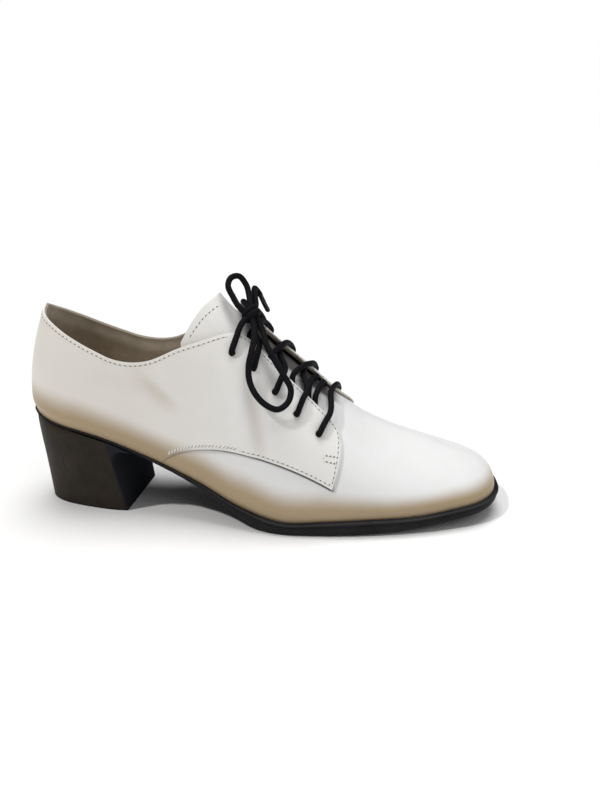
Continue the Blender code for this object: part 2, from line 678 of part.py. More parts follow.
def make_lace(shoe, cutters):
    make_lace_bar(shoe)
    for index in range(1, HOLE_COUNT):
        make_lace_crossing(index, shoe, cutters)
    for side in (LATERAL, MEDIAL):
        make_top_strand(side, shoe)
    make_knot(shoe)
    for name, points in LACE_ROUTES.items():
        add_object(name, lace_curve(name, points), LACE_BLACK, shoe)


def main():
    for old in list(bpy.data.objects):
        bpy.data.objects.remove(old, do_unlink=True)
    shoe = bpy.data.collections.new("lace_up_heeled_shoe")
    cutters = bpy.data.collections.new("cutters")
    for collection in (shoe, cutters):
        bpy.context.scene.collection.children.link(collection)
    plate("outsole", sole_rings, SOLE_BLACK, shoe)
    make_heel(shoe)
    plate("insole", insole_rings, INSOLE_TAN, shoe)
    upper = make_upper(shoe)
    make_tongue(shoe)
    for side in (LATERAL, MEDIAL):
        quarter = make_quarter(side, shoe)
        punches = make_hole_cutter(side, cutters)
        add_boolean(quarter, punches, "DIFFERENCE")
        add_boolean(upper, punches, "DIFFERENCE")
    make_lace(shoe, cutters)


main()
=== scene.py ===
"""Looks of the lace-up heeled shoe: leather, lining, sole, heel, lace, stitching and stage.

Sizes are in millimetres in the shoe's own frame, as in the part's source: the back of the heel is near
x = 0, the toe points along +x, the lateral side is -y, the medial side is +y and the floor is z = 0.
"""

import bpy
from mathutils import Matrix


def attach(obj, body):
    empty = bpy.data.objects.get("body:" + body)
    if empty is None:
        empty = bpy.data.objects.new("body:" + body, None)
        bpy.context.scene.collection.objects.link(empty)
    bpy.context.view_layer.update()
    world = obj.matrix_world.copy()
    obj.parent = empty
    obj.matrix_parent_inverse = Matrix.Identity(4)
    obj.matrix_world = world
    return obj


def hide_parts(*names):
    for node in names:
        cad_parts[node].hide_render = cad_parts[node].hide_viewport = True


bl_info = {
    "name": "Lace-up heeled shoe",
    "version": (1, 0, 0),
    "blender": (4, 5, 0),
    "location": "View3D > Sidebar > Shoe",
    "description": "Dresses the packed shoe with its leather, sole, heel, lace and stitching",
    "category": "Add Mesh",
}

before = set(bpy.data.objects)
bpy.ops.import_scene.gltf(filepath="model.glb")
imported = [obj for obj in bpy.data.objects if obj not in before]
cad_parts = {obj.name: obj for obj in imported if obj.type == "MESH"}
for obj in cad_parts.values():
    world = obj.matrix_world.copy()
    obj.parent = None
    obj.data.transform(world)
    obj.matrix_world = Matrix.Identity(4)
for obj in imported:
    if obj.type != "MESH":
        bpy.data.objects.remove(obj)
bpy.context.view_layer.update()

import math

import bpy
import numpy as np
from mathutils import Vector

MM = 0.001
Y_AXIS, Z_AXIS = 1, 2
LATERAL, MEDIAL = -1, 1
SIDES = (LATERAL, MEDIAL)
FORWARD, UP = np.array((1.0, 0.0, 0.0)), np.array((0.0, 0.0, 1.0))

# Fineness: samples of the last's outline, the reach of its direction in percent, halvings of a search,
# and the angles in degrees from which edges are rounded and from which they are shaded as edges.
OUTLINE_SAMPLES, OUT_REACH, HALVINGS = 1500, 0.6, 36
EDGE_ANGLE, HEEL_EDGE_ANGLE = 50, 40
SHADE_ANGLE, SOLE_SHADE_ANGLE, ROUND_SHADE_ANGLE = 45, 60, 80
EDGES = {"vamp": 0.35, "quarter": 0.4, "lining": 0.3, "insole": 0.5, "heel": 0.7}


def table(columns, *rows):
    """Named columns of a short table, one row for each section."""
    return dict(zip(columns.split(), np.array(rows, dtype=float).T))


# Centre of the box around the shoe without its bow, which is the part's origin.
ORIGIN = np.array((135.39, -0.75, 0.0))

# Last, as in the part's source: where upper and sole meet, with widths from the centre line.
HEEL_BACK, TOE_TIP = 1.5, 268.5
HEEL_ROUND, HEEL_POWER = 30.0, 2.15
TOE_ROUND, TOE_POWER = 24.0, 2.7
FEATHER = table(
    "x centre lateral medial height",
    (1.5, 0.0, 25.0, 25.0, 59.0),
    (28, 0.0, 28.3, 28.0, 54.0),
    (50, 0.0, 28.2, 26.5, 47.1),
    (72, 0.0, 27.2, 23.5, 37.0),
    (100, 0.0, 31.0, 22.5, 24.8),
    (124, 0.0, 37.0, 27.5, 13.6),
    (148, 0.0, 41.8, 36.0, 7.5),
    (170, 0.3, 42.0, 40.0, 8.6),
    (195, 1.0, 40.3, 39.0, 9.6),
    (222, 2.0, 36.0, 33.5, 10.0),
    (248, 3.5, 28.8, 27.5, 12.3),
    (268.5, 6.0, 22.6, 22.0, 13.6))

# Top line of the last by share in percent of the way from heel to toe.
CROWN = table(
    "share x lateral medial height",
    (0, 15.3, 0.0, 0.0, 122),
    (5, 18.5, -8.5, 8.5, 119),
    (10, 27, -14.5, 14.5, 113),
    (15, 36, -18.0, 18.0, 108),
    (20, 47, -21.0, 21.0, 103),
    (25, 61, -23.0, 23.0, 99),
    (30, 75, -22.5, 22.0, 100),
    (35, 90, -18.5, 19.0, 109),
    (40, 101, -9.0, 12.0, 121),
    (44, 109.5, 3.0, 3.0, 127),
    (47, 117, 3.5, 3.5, 118.5),
    (50, 126, 4.0, 4.0, 109.5),
    (55, 141.5, 4.5, 4.5, 95),
    (60, 157.5, 5.0, 5.0, 81.3),
    (65, 173.5, 5.3, 5.3, 66.8),
    (70, 189, 5.7, 5.7, 55.5),
    (75, 203, 6.1, 6.1, 48.8),
    (80, 215.5, 6.6, 6.6, 44.2),
    (85, 226.5, 7.0, 7.0, 40.4),
    (90, 236, 7.3, 7.3, 37.0),
    (95, 243, 7.5, 7.5, 34.6),
    (100, 246, 7.5, 7.5, 33.6))

# Shape of each section on its way from the feather line to the crown.
SECTION = table(
    "share rise lateral_flare medial_flare reach fall",
    (0, 22, 4, 4, 19, 66),
    (10, 20, 5, 5, 17, 66),
    (20, 19, 4, 5, 16, 68),
    (30, 22, 3, 8, 18, 66),
    (40, 40, 3, 10, 30, 52),
    (47, 50, 2, 9, 36, 27),
    (55, 37, 1, 6, 29, 15),
    (65, 25, 2, 4, 20, 4),
    (75, 17, 4, 5, 14.5, 2),
    (85, 12, 6, 6, 12.5, 1.5),
    (92, 11, 5, 5, 12, 5),
    (100, 11, 4, 4, 12, 16))

# Pattern lines on the last.
COLLAR = table(
    "share lateral medial",
    (0, 116.5, 116.5), (5, 112, 112), (10, 106.3, 106.3), (15, 101, 101), (20, 95.6, 95.8), (23, 92.2, 92.6),
    (27, 90.6, 91), (30, 91.8, 92.2), (35, 97.8, 98.2), (40, 101.6, 103.8), (43, 103.6, 107.8),
    (46, 105.0, 111.4), (50, 105.8, 113))
FACING = table(
    "share lateral medial",
    (46, -15.4, 11.2), (48.5, -13.4, 8.6), (51.5, -14.0, 6.8), (55, -15.0, 6.1), (59, -16.8, 6.0),
    (61, -18.0, 6.6), (62.4, -18.9, 8.0), (63.4, -19.9, 10.2), (64.0, -21.6, 13.6), (64.4, -26.5, 19.5))
FACING_TOP = 46.0
SEAM = table(
    "share height",
    (30.7, 35.0), (33, 39.6), (36, 43.2), (40, 45.4), (43.5, 45.7), (48, 44.3), (52, 41.2),
    (56, 36.5), (59.5, 31.4), (62.4, 26.4))
TAB_EDGE = table(
    "climb shift",
    (0, 0.0), (0.3, 0.8), (0.6, 1.5), (1, 2.0))
SEAM_START, TAB_CORNER, TAB_BLEND = 30.7, 62.4, 52.0
TAB_AHEAD = {LATERAL: 0.0, MEDIAL: 3.5}
BACK_SEAM, TAB_FROM = 0.03, 58.0
TONGUE_TOP = table(
    "share height",
    (35.6, 101.5), (37.5, 109.5), (39.5, 115.8), (41.6, 120.8), (44, 124.8))
TONGUE_SIDE = table(
    "share lateral medial",
    (35.6, -23.8, 23.8), (40, -25.5, 25.0), (50, -24.5, 22.5), (60, -24.0, 21.0), (67, -20.0, 21.0))
TONGUE_BACK, TONGUE_TIP, TONGUE_JOINS = 35.6, 44.0, 44.8

# Vamp: where its strip under the quarters ends, where it becomes the tongue, its runs of columns as start,
# end and steps, and the rows of its bands.
STRIP_ENDS, THROAT_FROM, THROAT_TO = 47.0, 57.0, 67.0
UNDERLAP, FRONT_BANDS, LEAST_BANDS = 0.09, (0.32, 0.60), (0.02, 0.01)
VAMP_RUNS = (
    (29.6, 35.6, 8), (35.6, 44, 14), (44, 47, 6), (47, 57, 16), (57, 67, 20), (67, 86, 30), (86, 96, 20),
    (96, 100, 14))
VAMP_BAND_ROWS = (16, 12, 4, 10, 30)
SEAM_ROWS_BELOW, SEAM_ROWS_ABOVE = 2.6, 0.3
NEAR_LIMITS, LINE_LIMITS = (0.3, 0.88), (0.04, 0.96)
SINK_ENDS = (THROAT_FROM + 2.0, THROAT_TO)
# The painted shade along the sole narrows towards the toe: where it starts and ends doing so, and by how much.
TOE_SHADE_NARROWS_FROM, TOE_SHADE_NARROWS_TO, TOE_SHADE_NARROWING = 58.0, 72.0, 0.25

# Shade painted on the vamp: along the seam, by mm below and above it and by share, and under the medial facing.
SEAM_SHADE_BELOW, SEAM_SHADE_ABOVE = (0.75, 1.7), (3.0, 6.0)
SEAM_SHADE_LEAST, SEAM_SHADE_GROWS, SEAM_SHADE_STOPS = 0.45, (SEAM_START + 3, SEAM_START + 16), (-0.1, 0.5)
FACING_SHADE_NEAR, FACING_SHADE_FAR, FACING_SHADE_SHRINK = 14.0, 17.5, 4.0
FACING_SHADE_SHRINKS, FACING_SHADE_STARTS, FACING_SHADE_ABOVE = (50.0, 59.0), (47.5, 50.5), (4.0, 9.0)
FACING_SHADE_STOPS = (-2.4, 0.6)

# Quarters: rows, the depth of a crease at which its painted shade is full, how far the leather is drawn in
# at the sole, and where it is skived thin at the start of the seam.
QUARTER_ROWS, FOLD_FULL = 52, 1.6
DRAW_IN, DRAW_IN_CLIMB, DRAW_IN_ENDS = 0.75, 0.10, (SEAM_START - 1, SEAM_START + 1)
SKIVE, SKIVE_UP = 0.8, 0.22
SKIVE_STARTS, SKIVE_ENDS = (SEAM_START - 8, SEAM_START), (SEAM_START + 1.5, SEAM_START + 9)

# Lining: its runs, its depth inside the quarters and how it rises to the collar edge.
LINING_RUNS = ((0, 8, 14), (8, 40, 36), (40, 47, 10), (47, 62, 18))
LINING_BAND_ROWS = (10, 18)
LINING_DEEP, LINING_HIGH, LINING_RISE, LINING_BELOW = -2.0, 0.32, 9.0, 0.55
FACING_DEEP, FACING_DEEP_AT, FACING_IN = -0.6, (44.0, 48.0), 0.5
LINING_SPLIT, LINING_LOW, LINING_LEAST = 38.0, 0.5, 0.05

# Insole: its runs, the rows across it, its distance from the feather line and how far it is dished.
INSOLE_RUNS, INSOLE_ROWS = ((0, 4, 8), (4, 96, 69), (96, 100, 8)), 14
INSOLE_INSET, INSOLE_DISH = 3.2, 0.5

# Outsole: its margin and underside, its edge from top to underside, its runs, the rows across it, the gap
# above it, and the ring of its edge that carries a painted highlight.
SOLE = table(
    "x margin underside",
    (0, 1.4, 57.2), (28, 1.4, 52.1), (50, 1.4, 44.9), (72, 1.5, 34.2), (100, 1.9, 20.6), (114, 2.2, 12.6),
    (126, 2.6, 5.2), (135, 2.8, 1.2), (142, 2.9, 0.0), (176, 2.9, 0.0), (200, 2.9, 1.0), (225, 2.9, 3.0),
    (247, 2.8, 5.2), (271, 2.6, 7.6))
SOLE_PROFILE = table(
    "down inset",
    (0.0, 3.4), (0.0, 0.75), (0.008, 0.40), (0.03, 0.12), (0.065, 0.0), (0.145, 0.0), (0.175, 0.10),
    (0.195, 0.34), (0.21, 0.72), (0.235, 0.86), (0.27, 0.74), (0.45, 0.66), (0.66, 0.72), (0.80, 0.92),
    (0.90, 1.35), (0.965, 2.0), (1.0, 2.9))
SOLE_RUNS, SOLE_ROWS, SOLE_GAP = ((0, 5, 13), (5, 90, 99), (90, 100, 33)), 10, 0.35
HIGHLIGHT_RING, HIGHLIGHT_SPREAD = 3.0, 1.2

# Heel block, from the seat at level 0 to the floor at level 1.
HEEL_MARGIN, HEEL_ROWS = 0.7, 8
HEEL_RUNS, HEEL_LEVEL_RUNS = ((0, 12, 29), (12, 22.6, 17)), ((0, 0.2, 8), (0.2, 1, 14))
HEEL_FRONT = {LATERAL: 52.0, MEDIAL: 54.9}
BREAST_LINE, BREAST_RAKE, BREAST_SKEW = 56.0, 0.131, 0.063
HEEL_LEVELS = table(
    "level back front width taper",
    (0, 0.0, 10.0, 1.0, 0.0), (0.04, 0.1, 5.4, 0.995, 0.0), (0.10, 0.2, 1.8, 0.985, 0.01),
    (0.20, 0.4, -0.8, 0.968, 0.03), (0.45, 0.9, 0.2, 0.92, 0.08), (0.75, 1.4, 2.2, 0.865, 0.14),
    (1.0, 1.8, 3.8, 0.82, 0.18))
HEEL_TAPER_BACK, HEEL_TAPER_FRONT = 0.35, 0.95

# Lace holes and the lace's way through them, with heights in mm above the last.
HOLE_COUNT, PUNCH_LENGTH = 5, 12.0
HOLES = table(
    "side first step width spread",
    (LATERAL, 45.7, 3.7, -21.3, -1.6), (MEDIAL, 47.0, 4.4, 17.6, 0.8))
HOLE_LIFTS = (-1.4, 0.6, 2.1)
FACING_PARTS, FACING_LIFTS = (0.3, 0.62, 1.0), (3.2, 3.3, 3.3)
TUCK = ((-3.2, 0.5), (0.8, -1.0))
GAP_MIDDLE, BAR_LIFT = -4.0, 2.6
GAP_LIFT = {LATERAL: -0.2, MEDIAL: 3.0}
ROW_LEAN = {LATERAL: (0.0, 1.1, 1.8, 1.8, 1.9), MEDIAL: (0.0, 0.0, 0.0, 0.0, 0.0)}
FAR_TUCK = {LATERAL: -0.6, MEDIAL: 0.0}
LOWEST_FROM = {LATERAL: -1.0, MEDIAL: -1.5}
LOWEST_TO = {LATERAL: 1.5, MEDIAL: 3.8}
KNOT_CENTRE = np.array((128.9, -8.2, 114.4))
TO_KNOT = {
    LATERAL: ((122.6, -19.6, 104.6), (124.6, -14.2, 110.2), (127.2, -10.8, 113.2)),
    MEDIAL: ((124.2, 2.6, 117.6), (127.6, -4.2, 115.6))}

# Free lengths of the bow, as in the part's source, from the knot outwards.
LACE_ROUTES = {
    "lace_loop_lateral": (
        (131.4, -15.6, 107.8), (132.0, -19.8, 104.7), (131.3, -26.2, 98.2), (130.2, -29.4, 92.2),
        (130.7, -32.5, 85.1), (133.9, -35.7, 78.8), (139.4, -36.2, 72.8), (145.7, -34.9, 69.9),
        (150.7, -31.7, 72.9), (152.0, -28.9, 78.1), (147.6, -26.0, 86.3), (142.0, -21.6, 93.8),
        (137.9, -18.2, 100.4), (136.0, -13.6, 105.0)),
    "lace_loop_upper": (
        (122.6, -8.0, 117.6), (118.6, -4.6, 122.5), (115.5, -1.0, 128.2), (116.7, 2.6, 131.6),
        (120.4, 5.6, 132.0), (124.2, 4.6, 128.0), (126.6, 0.6, 122.2), (127.8, -4.4, 118.8)),
    "lace_end_upper": (
        (130.2, 0.6, 117.6), (128.8, 6.0, 122.2), (128.2, 11.4, 124.4), (130.2, 14.8, 120.8),
        (133.0, 17.2, 113.8), (134.8, 19.6, 109.4)),
    "lace_end_medial": (
        (131.4, -1.6, 113.2), (130.4, 3.4, 113.4), (129.4, 9.0, 112.4), (130.0, 12.4, 110.7),
        (130.8, 15.8, 108.4), (131.5, 19.2, 105.5), (132.2, 22.6, 101.9), (132.6, 25.0, 98.9)),
}

# Where each free length starts and ends inside the knot: across it, down it and out of it, in mm.
INTO_KNOT = {
    "lace_loop_lateral": ((-0.5, 1.0, 0.3), (1.5, 1.0, 0.3)),
    "lace_loop_upper": ((-1.5, -0.5, 0.0), (0.5, -0.5, 0.0)),
    "lace_end_upper": ((1.8, -0.5, -0.5),),
    "lace_end_medial": ((2.0, 0.5, -1.0),),
}
KNOT_WIDE, KNOT_DEEP, KNOT_TALL = 3.7, 2.5, 2.6
KNOT_TURNS, KNOT_POINTS = (-0.3, 3.3), 80
KNOT_CORE = ((-0.8, -4.0, 0.0), (0.0, 0.0, 0.2), (0.8, 4.0, 0.0))
AGLET = {"lace_end_upper": 12.0, "lace_end_medial": 6.0}
AGLET_STEP, AGLET_THIN = 0.3, 0.14

# Lace as it is modelled: sides, steps along it, its rounded ends and the points taken along its path.
LACE_SIDES, LACE_STEP, BOW_STEP, PATH_POINTS = 16, 0.8, 1.0, 36
END_LENGTH, END_POINTS, END_CLEAR, TIP_RADIUS = 2.0, 6, 2.4, 0.0005

# Stitching: distance of each row from its edge, shares where rows start and end, pitches, and stitches as
# length, width, height and slant. The first two are parts of the pitch and of the thread, the others are mm.
RIM_INSET, SEAM_INSET, ROPE_INSET, TAB_INSET, TONGUE_INSET = 1.8, 1.6, 2.0, 0.22, 5.4
COLLAR_STITCHED, TONGUE_STITCHED, FACING_FROM = (0.6, 45.2), (37.4, 43.9), 46.6
TAB_LOW, TAB_TURN = 0.07, 0.4
ROPE_FROM, ROPE_TO, ROPE_PITCH, TACK_PITCH, STITCH_FEEL = 46.0, 32.0, 2.0, 1.9, 0.3
TACK = ((63.6, 41.6), (61.0, 43.6), (61.0, 40.9), (63.6, 38.4))
STITCH, TONGUE_STITCH = (0.68, 1.0, 0.8, 0.16), (0.66, 0.8, 0.5, 0.1)
NEEDLE_MARK, TACK_MARK = (1.15, 0.62, 0.30, 0.0), (1.3, 0.95, 0.34, 0.0)
ROPE_STITCH, ROPE_MARK = (2.6, 1.0, 0.9, 0.75), (2.34, 0.5, 0.35, 0.75)

# Main creases of the quarters: a line from one share and height to another, with the depth of the trough
# (a ridge is negative), its half width, and how far its ends fade, all in mm.
CREASES = {
    LATERAL: table(
        "share_a height_a share_b height_b depth half fade",
        (48.6, 76, 50.0, 46, 1.7, 3.4, 10),
        (46.4, 74, 47.6, 50, -0.60, 4.2, 10),
        (52.6, 70, 53.4, 46, -0.55, 4.0, 9),
        (28.0, 83, 33.8, 68, 1.6, 4.4, 9),
        (30.6, 86, 35.8, 72, -0.80, 3.2, 7),
        (20.0, 84, 27.0, 77, 0.35, 4.5, 9)),
    MEDIAL: table(
        "share_a height_a share_b height_b depth half fade",
        (49.0, 80, 50.4, 50, 0.70, 4.0, 10),
        (53.0, 72, 54.2, 46, 0.60, 3.8, 9),
        (56.8, 64, 57.6, 42, 0.50, 3.6, 8),
        (51.0, 76, 52.2, 48, -0.40, 3.6, 9),
        (55.0, 68, 55.8, 44, -0.35, 3.4, 8),
        (28.4, 82, 33.0, 70, 0.50, 3.6, 8)),
}
PUCKER_DEPTH, PUCKER_HALF = 0.45, 4.6

# Looks: the usual noise, how strongly painted shade darkens the leather's creases and crevices, and how
# strongly a painted highlight lightens the rubber's rand. Places are in metres: where the leather takes on
# its aged tone, the heel's black foot, and the soft edge of its breast.
NOISE_ROUGHNESS, NOISE_RANGE = 0.55, (0.3, 0.7)
WARMER, FOLD_SHADE, CREVICE_SHADE, HIGHLIGHT_STRENGTH = (0.988, 0.984, 0.974), 0.26, 0.93, 0.8
AGED_BEHIND, HEEL_FOOT, BREAST_BLUR = (-0.10, 0.02), (0.0006, 0.0012), 0.0003

# Camera and stage.
CAMERA_PLACE, CAMERA_TILT, CAMERA_TURN = (181.9, -348.6, 190.0), 70.0, 4.5
CAMERA_LENS, CAMERA_SENSOR, CAMERA_CLIP = 29.25, 36.0, (0.01, 100.0)
FLOOR_SIZE, FLOOR_CELLS, AMBIENT = 40.0, 24, 0.07
LIGHTS = {
    "overhead_light": ((0.05, 0.20, 1.0), 2.20, 40.0, (1.0, 1.0, 1.0)),
    "key_light": ((-0.52, -0.29, 0.80), 1.22, 3.0, (1.0, 0.985, 0.96)),
    "fill_light": ((0.60, -0.42, 0.70), 0.60, 55.0, (1.0, 1.0, 1.0)),
}


def measure(name, description, default):
    """One length that a user would change, in metres."""
    return bpy.props.FloatProperty(name=name, description=description, default=default, unit="LENGTH")


def amount(name, description, default, most):
    """One strength that a user would change."""
    return bpy.props.FloatProperty(
        name=name, description=description, default=default, min=0.0, max=most, subtype="FACTOR")


def colour(name, description, default):
    """One colour that a user would change."""
    return bpy.props.FloatVectorProperty(
        name=name, description=description, default=default, subtype="COLOR", size=3, min=0.0, max=1.0)


class ShoeSizes(bpy.types.PropertyGroup):
    """Sizes of the dressed shoe."""
    quarter_wall: measure("Quarter leather", "Thickness of the quarters' leather", 0.0012)
    quarter_face: measure("Quarter face", "Height of the quarters' face above the last", 0.00165)
    vamp_wall: measure("Vamp leather", "Thickness of the vamp and tongue", 0.0014)
    tongue_drop: measure("Tongue depth", "How far the tongue lies below the last's surface", 0.0025)
    lining_wall: measure("Lining leather", "Thickness of the lining", 0.0009)
    insole_wall: measure("Insole", "Thickness of the insole", 0.002)
    lace_diameter: measure("Lace", "Diameter of the round lace", 0.0033)
    hole_radius: measure("Lace hole", "Radius of the punched lace holes", 0.0018)
    stitch_pitch: measure("Stitch pitch", "Distance from stitch to stitch", 0.0027)
    thread: measure("Thread", "Diameter of the sewing thread", 0.00062)
    crease: amount("Creases", "Strength of the wear creases in the quarters", 1.0, 2.0)
    # Strength of the painted shade along the sole.
    soil: amount("Sole shade", "Strength of the tan shade along the sole", 0.97, 1.0)


class ShoeColours(bpy.types.PropertyGroup):
    """Colours of the dressed shoe."""
    vamp: colour("Vamp", "White of the vamp and tongue", (0.83, 0.835, 0.84))
    quarter: colour("Quarter", "White of the quarters", (0.855, 0.85, 0.835))
    patina: colour("Patina", "Cream tone of the leather towards the heel", (0.825, 0.785, 0.73))
    # Colour of the painted shade along the sole.
    soil: colour("Sole shade", "Tan shade of the leather along the sole", (0.41, 0.30, 0.168))
    lining: colour("Lining", "Leather of the lining", (0.46, 0.39, 0.30))
    insole: colour("Insole", "Leather of the insole", (0.42, 0.33, 0.23))
    cut_edge: colour("Cut edge", "Raw edge of the leather", (0.62, 0.56, 0.46))
    thread: colour("Thread", "Sewing thread", (0.80, 0.78, 0.73))
    rope: colour("Rope thread", "Heavier thread along the rear of the seam", (0.92, 0.91, 0.88))
    rope_marks: colour("Rope marks", "Shade between the heavier stitches", (0.52, 0.48, 0.42))
    needle: colour("Needle marks", "Shade in the needle holes", (0.13, 0.115, 0.095))
    outsole: colour("Outsole", "Black of the outsole", (0.0155, 0.0155, 0.017))
    heel: colour("Heel", "Dark brown-black of the heel block", (0.021, 0.0175, 0.0135))
    breast: colour("Heel breast", "Black of the heel's front", (0.024, 0.025, 0.030))
    lace: colour("Lace", "Black of the lace", (0.007, 0.007, 0.0085))
    crevice: colour("Crevice", "Shade under the edges of the leather", (0.055, 0.047, 0.040))
    # Colour of the painted highlight along the top of the rand.
    rubbed: colour("Highlighted rubber", "Grey of the rand where it is rubbed", (0.055, 0.052, 0.050))
    floor: colour("Floor", "Pale floor", (0.90, 0.90, 0.90))


def sizes():
    return bpy.context.scene.shoe_sizes


def colours():
    return bpy.context.scene.shoe_colours


# ---- the last -------------------------------------------------------------------------------------

def smooth(rows, key, column, at):
    """Cubic curve through a table's rows, read at the given keys."""
    keys, values = rows[key], rows[column]
    at = np.asarray(at, dtype=float)
    step = np.diff(keys)
    rise = np.diff(values) / step
    slope = np.empty_like(values)
    slope[1:-1] = (rise[:-1] * step[1:] + rise[1:] * step[:-1]) / (step[1:] + step[:-1])
    slope[0] = 1.5 * rise[0] - 0.5 * slope[1]
    slope[-1] = 1.5 * rise[-1] - 0.5 * slope[-2]
    i = np.clip(np.searchsorted(keys, at, side="right") - 1, 0, len(keys) - 2)
    t = (at - keys[i]) / step[i]
    start = (2 * t**3 - 3 * t**2 + 1) * values[i] + (t**3 - 2 * t**2 + t) * step[i] * slope[i]
    return start + (3 * t**2 - 2 * t**3) * values[i + 1] + (t**3 - t**2) * step[i] * slope[i + 1]


def straight(rows, key, column, at):
    """Straight lines through a table's rows, read at the given keys."""
    return np.interp(at, rows[key], rows[column])


def ease(low, high, at):
    """0 below low, 1 above high, and a soft turn between them."""
    t = np.clip((at - low) / (high - low), 0, 1)
    return t * t * (3 - 2 * t)


def run_along(points):
    """Distance from the first point to each point of a line."""
    return np.concatenate([[0], np.cumsum(np.linalg.norm(np.diff(points, axis=0), axis=1))])


def read_line(points, run, at):
    """Points of a line at the given distances."""
    return np.stack([np.interp(at, run, points[:, axis]) for axis in range(3)], axis=-1)


def unit(vectors):
    """Vectors brought to length 1."""
    return vectors / np.linalg.norm(vectors, axis=-1, keepdims=True)


def side_name(side):
    return "lateral" if side == LATERAL else "medial"


def trace_outline(side):
    """Feather line of one side, heel to toe, with the share of the way at each sample."""
    turn = np.linspace(0, np.pi, OUTLINE_SAMPLES)
    x = HEEL_BACK + (TOE_TIP - HEEL_BACK) * (1 - np.cos(turn)) / 2
    heel = np.clip((HEEL_BACK + HEEL_ROUND - x) / HEEL_ROUND, 0, 1)
    toe = np.clip((x - TOE_TIP + TOE_ROUND) / TOE_ROUND, 0, 1)
    close = (1 - heel**HEEL_POWER)**(1 / HEEL_POWER) * (1 - toe**TOE_POWER)**(1 / TOE_POWER)
    half = close * smooth(FEATHER, "x", side_name(side), x)
    y = smooth(FEATHER, "x", "centre", x) + side * half
    z = smooth(FEATHER, "x", "height", x)
    run = run_along(np.stack([x, y], axis=1))
    return np.stack([x, y, z], axis=1), 100 * run / run[-1]


OUTLINES = {side: trace_outline(side) for side in SIDES}


def feather(side, share):
    """Point of the feather line."""
    points, run = OUTLINES[side]
    return read_line(points, run, share)


def feather_out(side, share):
    """Level direction straight out of the feather line."""
    along = feather(side, np.clip(share + OUT_REACH, 0, 100))
    along = along - feather(side, np.clip(share - OUT_REACH, 0, 100))
    out = np.stack([along[..., 1], -along[..., 0], np.zeros_like(along[..., 0])], axis=-1) * -side
    ends = (np.asarray(share) <= 0) | (np.asarray(share) >= 100)
    out[..., 1] = np.where(ends, 0, out[..., 1])
    return unit(out)


def crown(side, share):
    """Point of the last's top line."""
    columns = ("x", side_name(side), "height")
    return np.stack([smooth(CROWN, "share", name, share) for name in columns], axis=-1)


def form(side, share, climb):
    """Surface of the last: one cubic section for each share, climb 0 at the feather line, 1 at the crown."""
    share, climb = np.broadcast_arrays(np.asarray(share, dtype=float), np.asarray(climb, dtype=float))
    foot, top = feather(side, share), crown(side, share)
    out = unit((foot - top) * (1, 1, 0))
    values = {name: smooth(SECTION, "share", name, share)[..., None] for name in SECTION}
    flare = np.radians(values[side_name(side) + "_flare"])
    fall = np.radians(values["fall"])
    low = foot + values["rise"] * (np.sin(flare) * out + np.cos(flare) * UP)
    high = top + values["reach"] * (np.cos(fall) * out - np.sin(fall) * UP)
    c = climb[..., None]
    return (1 - c)**3 * foot + 3 * c * (1 - c)**2 * low + 3 * c**2 * (1 - c) * high + c**3 * top


def form_normal(side, share, climb):
    """Direction straight out of the last."""
    share, climb = np.broadcast_arrays(np.asarray(share, dtype=float), np.asarray(climb, dtype=float))
    d_share, d_climb = 0.2, 0.002
    along = form(side, np.clip(share + d_share, 0, 100), climb)
    along = along - form(side, np.clip(share - d_share, 0, 100), climb)
    upward = form(side, share, np.clip(climb + d_climb, 0, 1))
    upward = upward - form(side, share, np.clip(climb - d_climb, 0, 1))
    normal = np.cross(along, upward) * -side
    middle = (share <= 0) | (share >= 100) | (climb >= 1)
    normal[..., 1] = np.where(middle, 0, normal[..., 1])
    return unit(normal)


def skin(side, share, climb, lift):
    """Point at a distance from the last, along its own normal."""
    return form(side, share, climb) + np.asarray(lift)[..., None] * form_normal(side, share, climb)


def climb_where(side, share, axis, value):
    """Climb at which a section reaches a height, or a width on its way in to the ridge."""
    share, value = np.broadcast_arrays(np.asarray(share, dtype=float), np.asarray(value, dtype=float))
    low, high = np.zeros_like(share), np.ones_like(share)
    for _ in range(HALVINGS):
        middle = (low + high) / 2
        reached = form(side, share, middle)[..., axis]
        short = reached < value if axis == Z_AXIS else side * reached > side * value
        low, high = np.where(short, middle, low), np.where(short, high, middle)
    return (low + high) / 2


def tab_corner(side):
    return TAB_CORNER + TAB_AHEAD[side]


def pattern_share(side, share):
    """Share at which the pattern lines are read: the medial tab lies a little further forward."""
    return share - TAB_AHEAD[side] * np.clip((share - TAB_BLEND) / (tab_corner(side) - TAB_BLEND), 0, 1)


def collar_climb(side, share, below=0.0):
    height = smooth(COLLAR, "share", side_name(side), np.minimum(share, COLLAR["share"][-1])) - below
    return climb_where(side, share, Z_AXIS, height)


def facing_width(side, share):
    drawn = np.clip(pattern_share(side, share), FACING_TOP, FACING["share"][-1])
    return smooth(FACING, "share", side_name(side), drawn)


def quarter_rim(side, share):
    """Upper edge of a quarter: the collar, the facing and its turn into the tab."""
    facing = climb_where(side, share, Y_AXIS, facing_width(side, share))
    return np.where(share < FACING_TOP, collar_climb(side, share), facing)


def seam_climb(side, share):
    """Lower edge of a quarter: the feather line, then the seam that sweeps up and along to the tab."""
    drawn = np.clip(pattern_share(side, share), SEAM_START, TAB_CORNER)
    climb = climb_where(side, share, Z_AXIS, smooth(SEAM, "share", "height", drawn))
    return np.where(share <= SEAM_START, 0.0, climb)


def over(side, share, width, lift):
    """Point above the last at a share and a width."""
    return skin(side, share, climb_where(side, share, Y_AXIS, width), lift)


def hole_spot(side, index):
    """Share and width of a lace hole, counted down from the collar."""
    row = list(HOLES["side"]).index(side)
    first, step, width, spread = (HOLES[name][row] for name in ("first", "step", "width", "spread"))
    return first + step * index, width + spread * index


# ---- modelling ------------------------------------------------------------------------------------

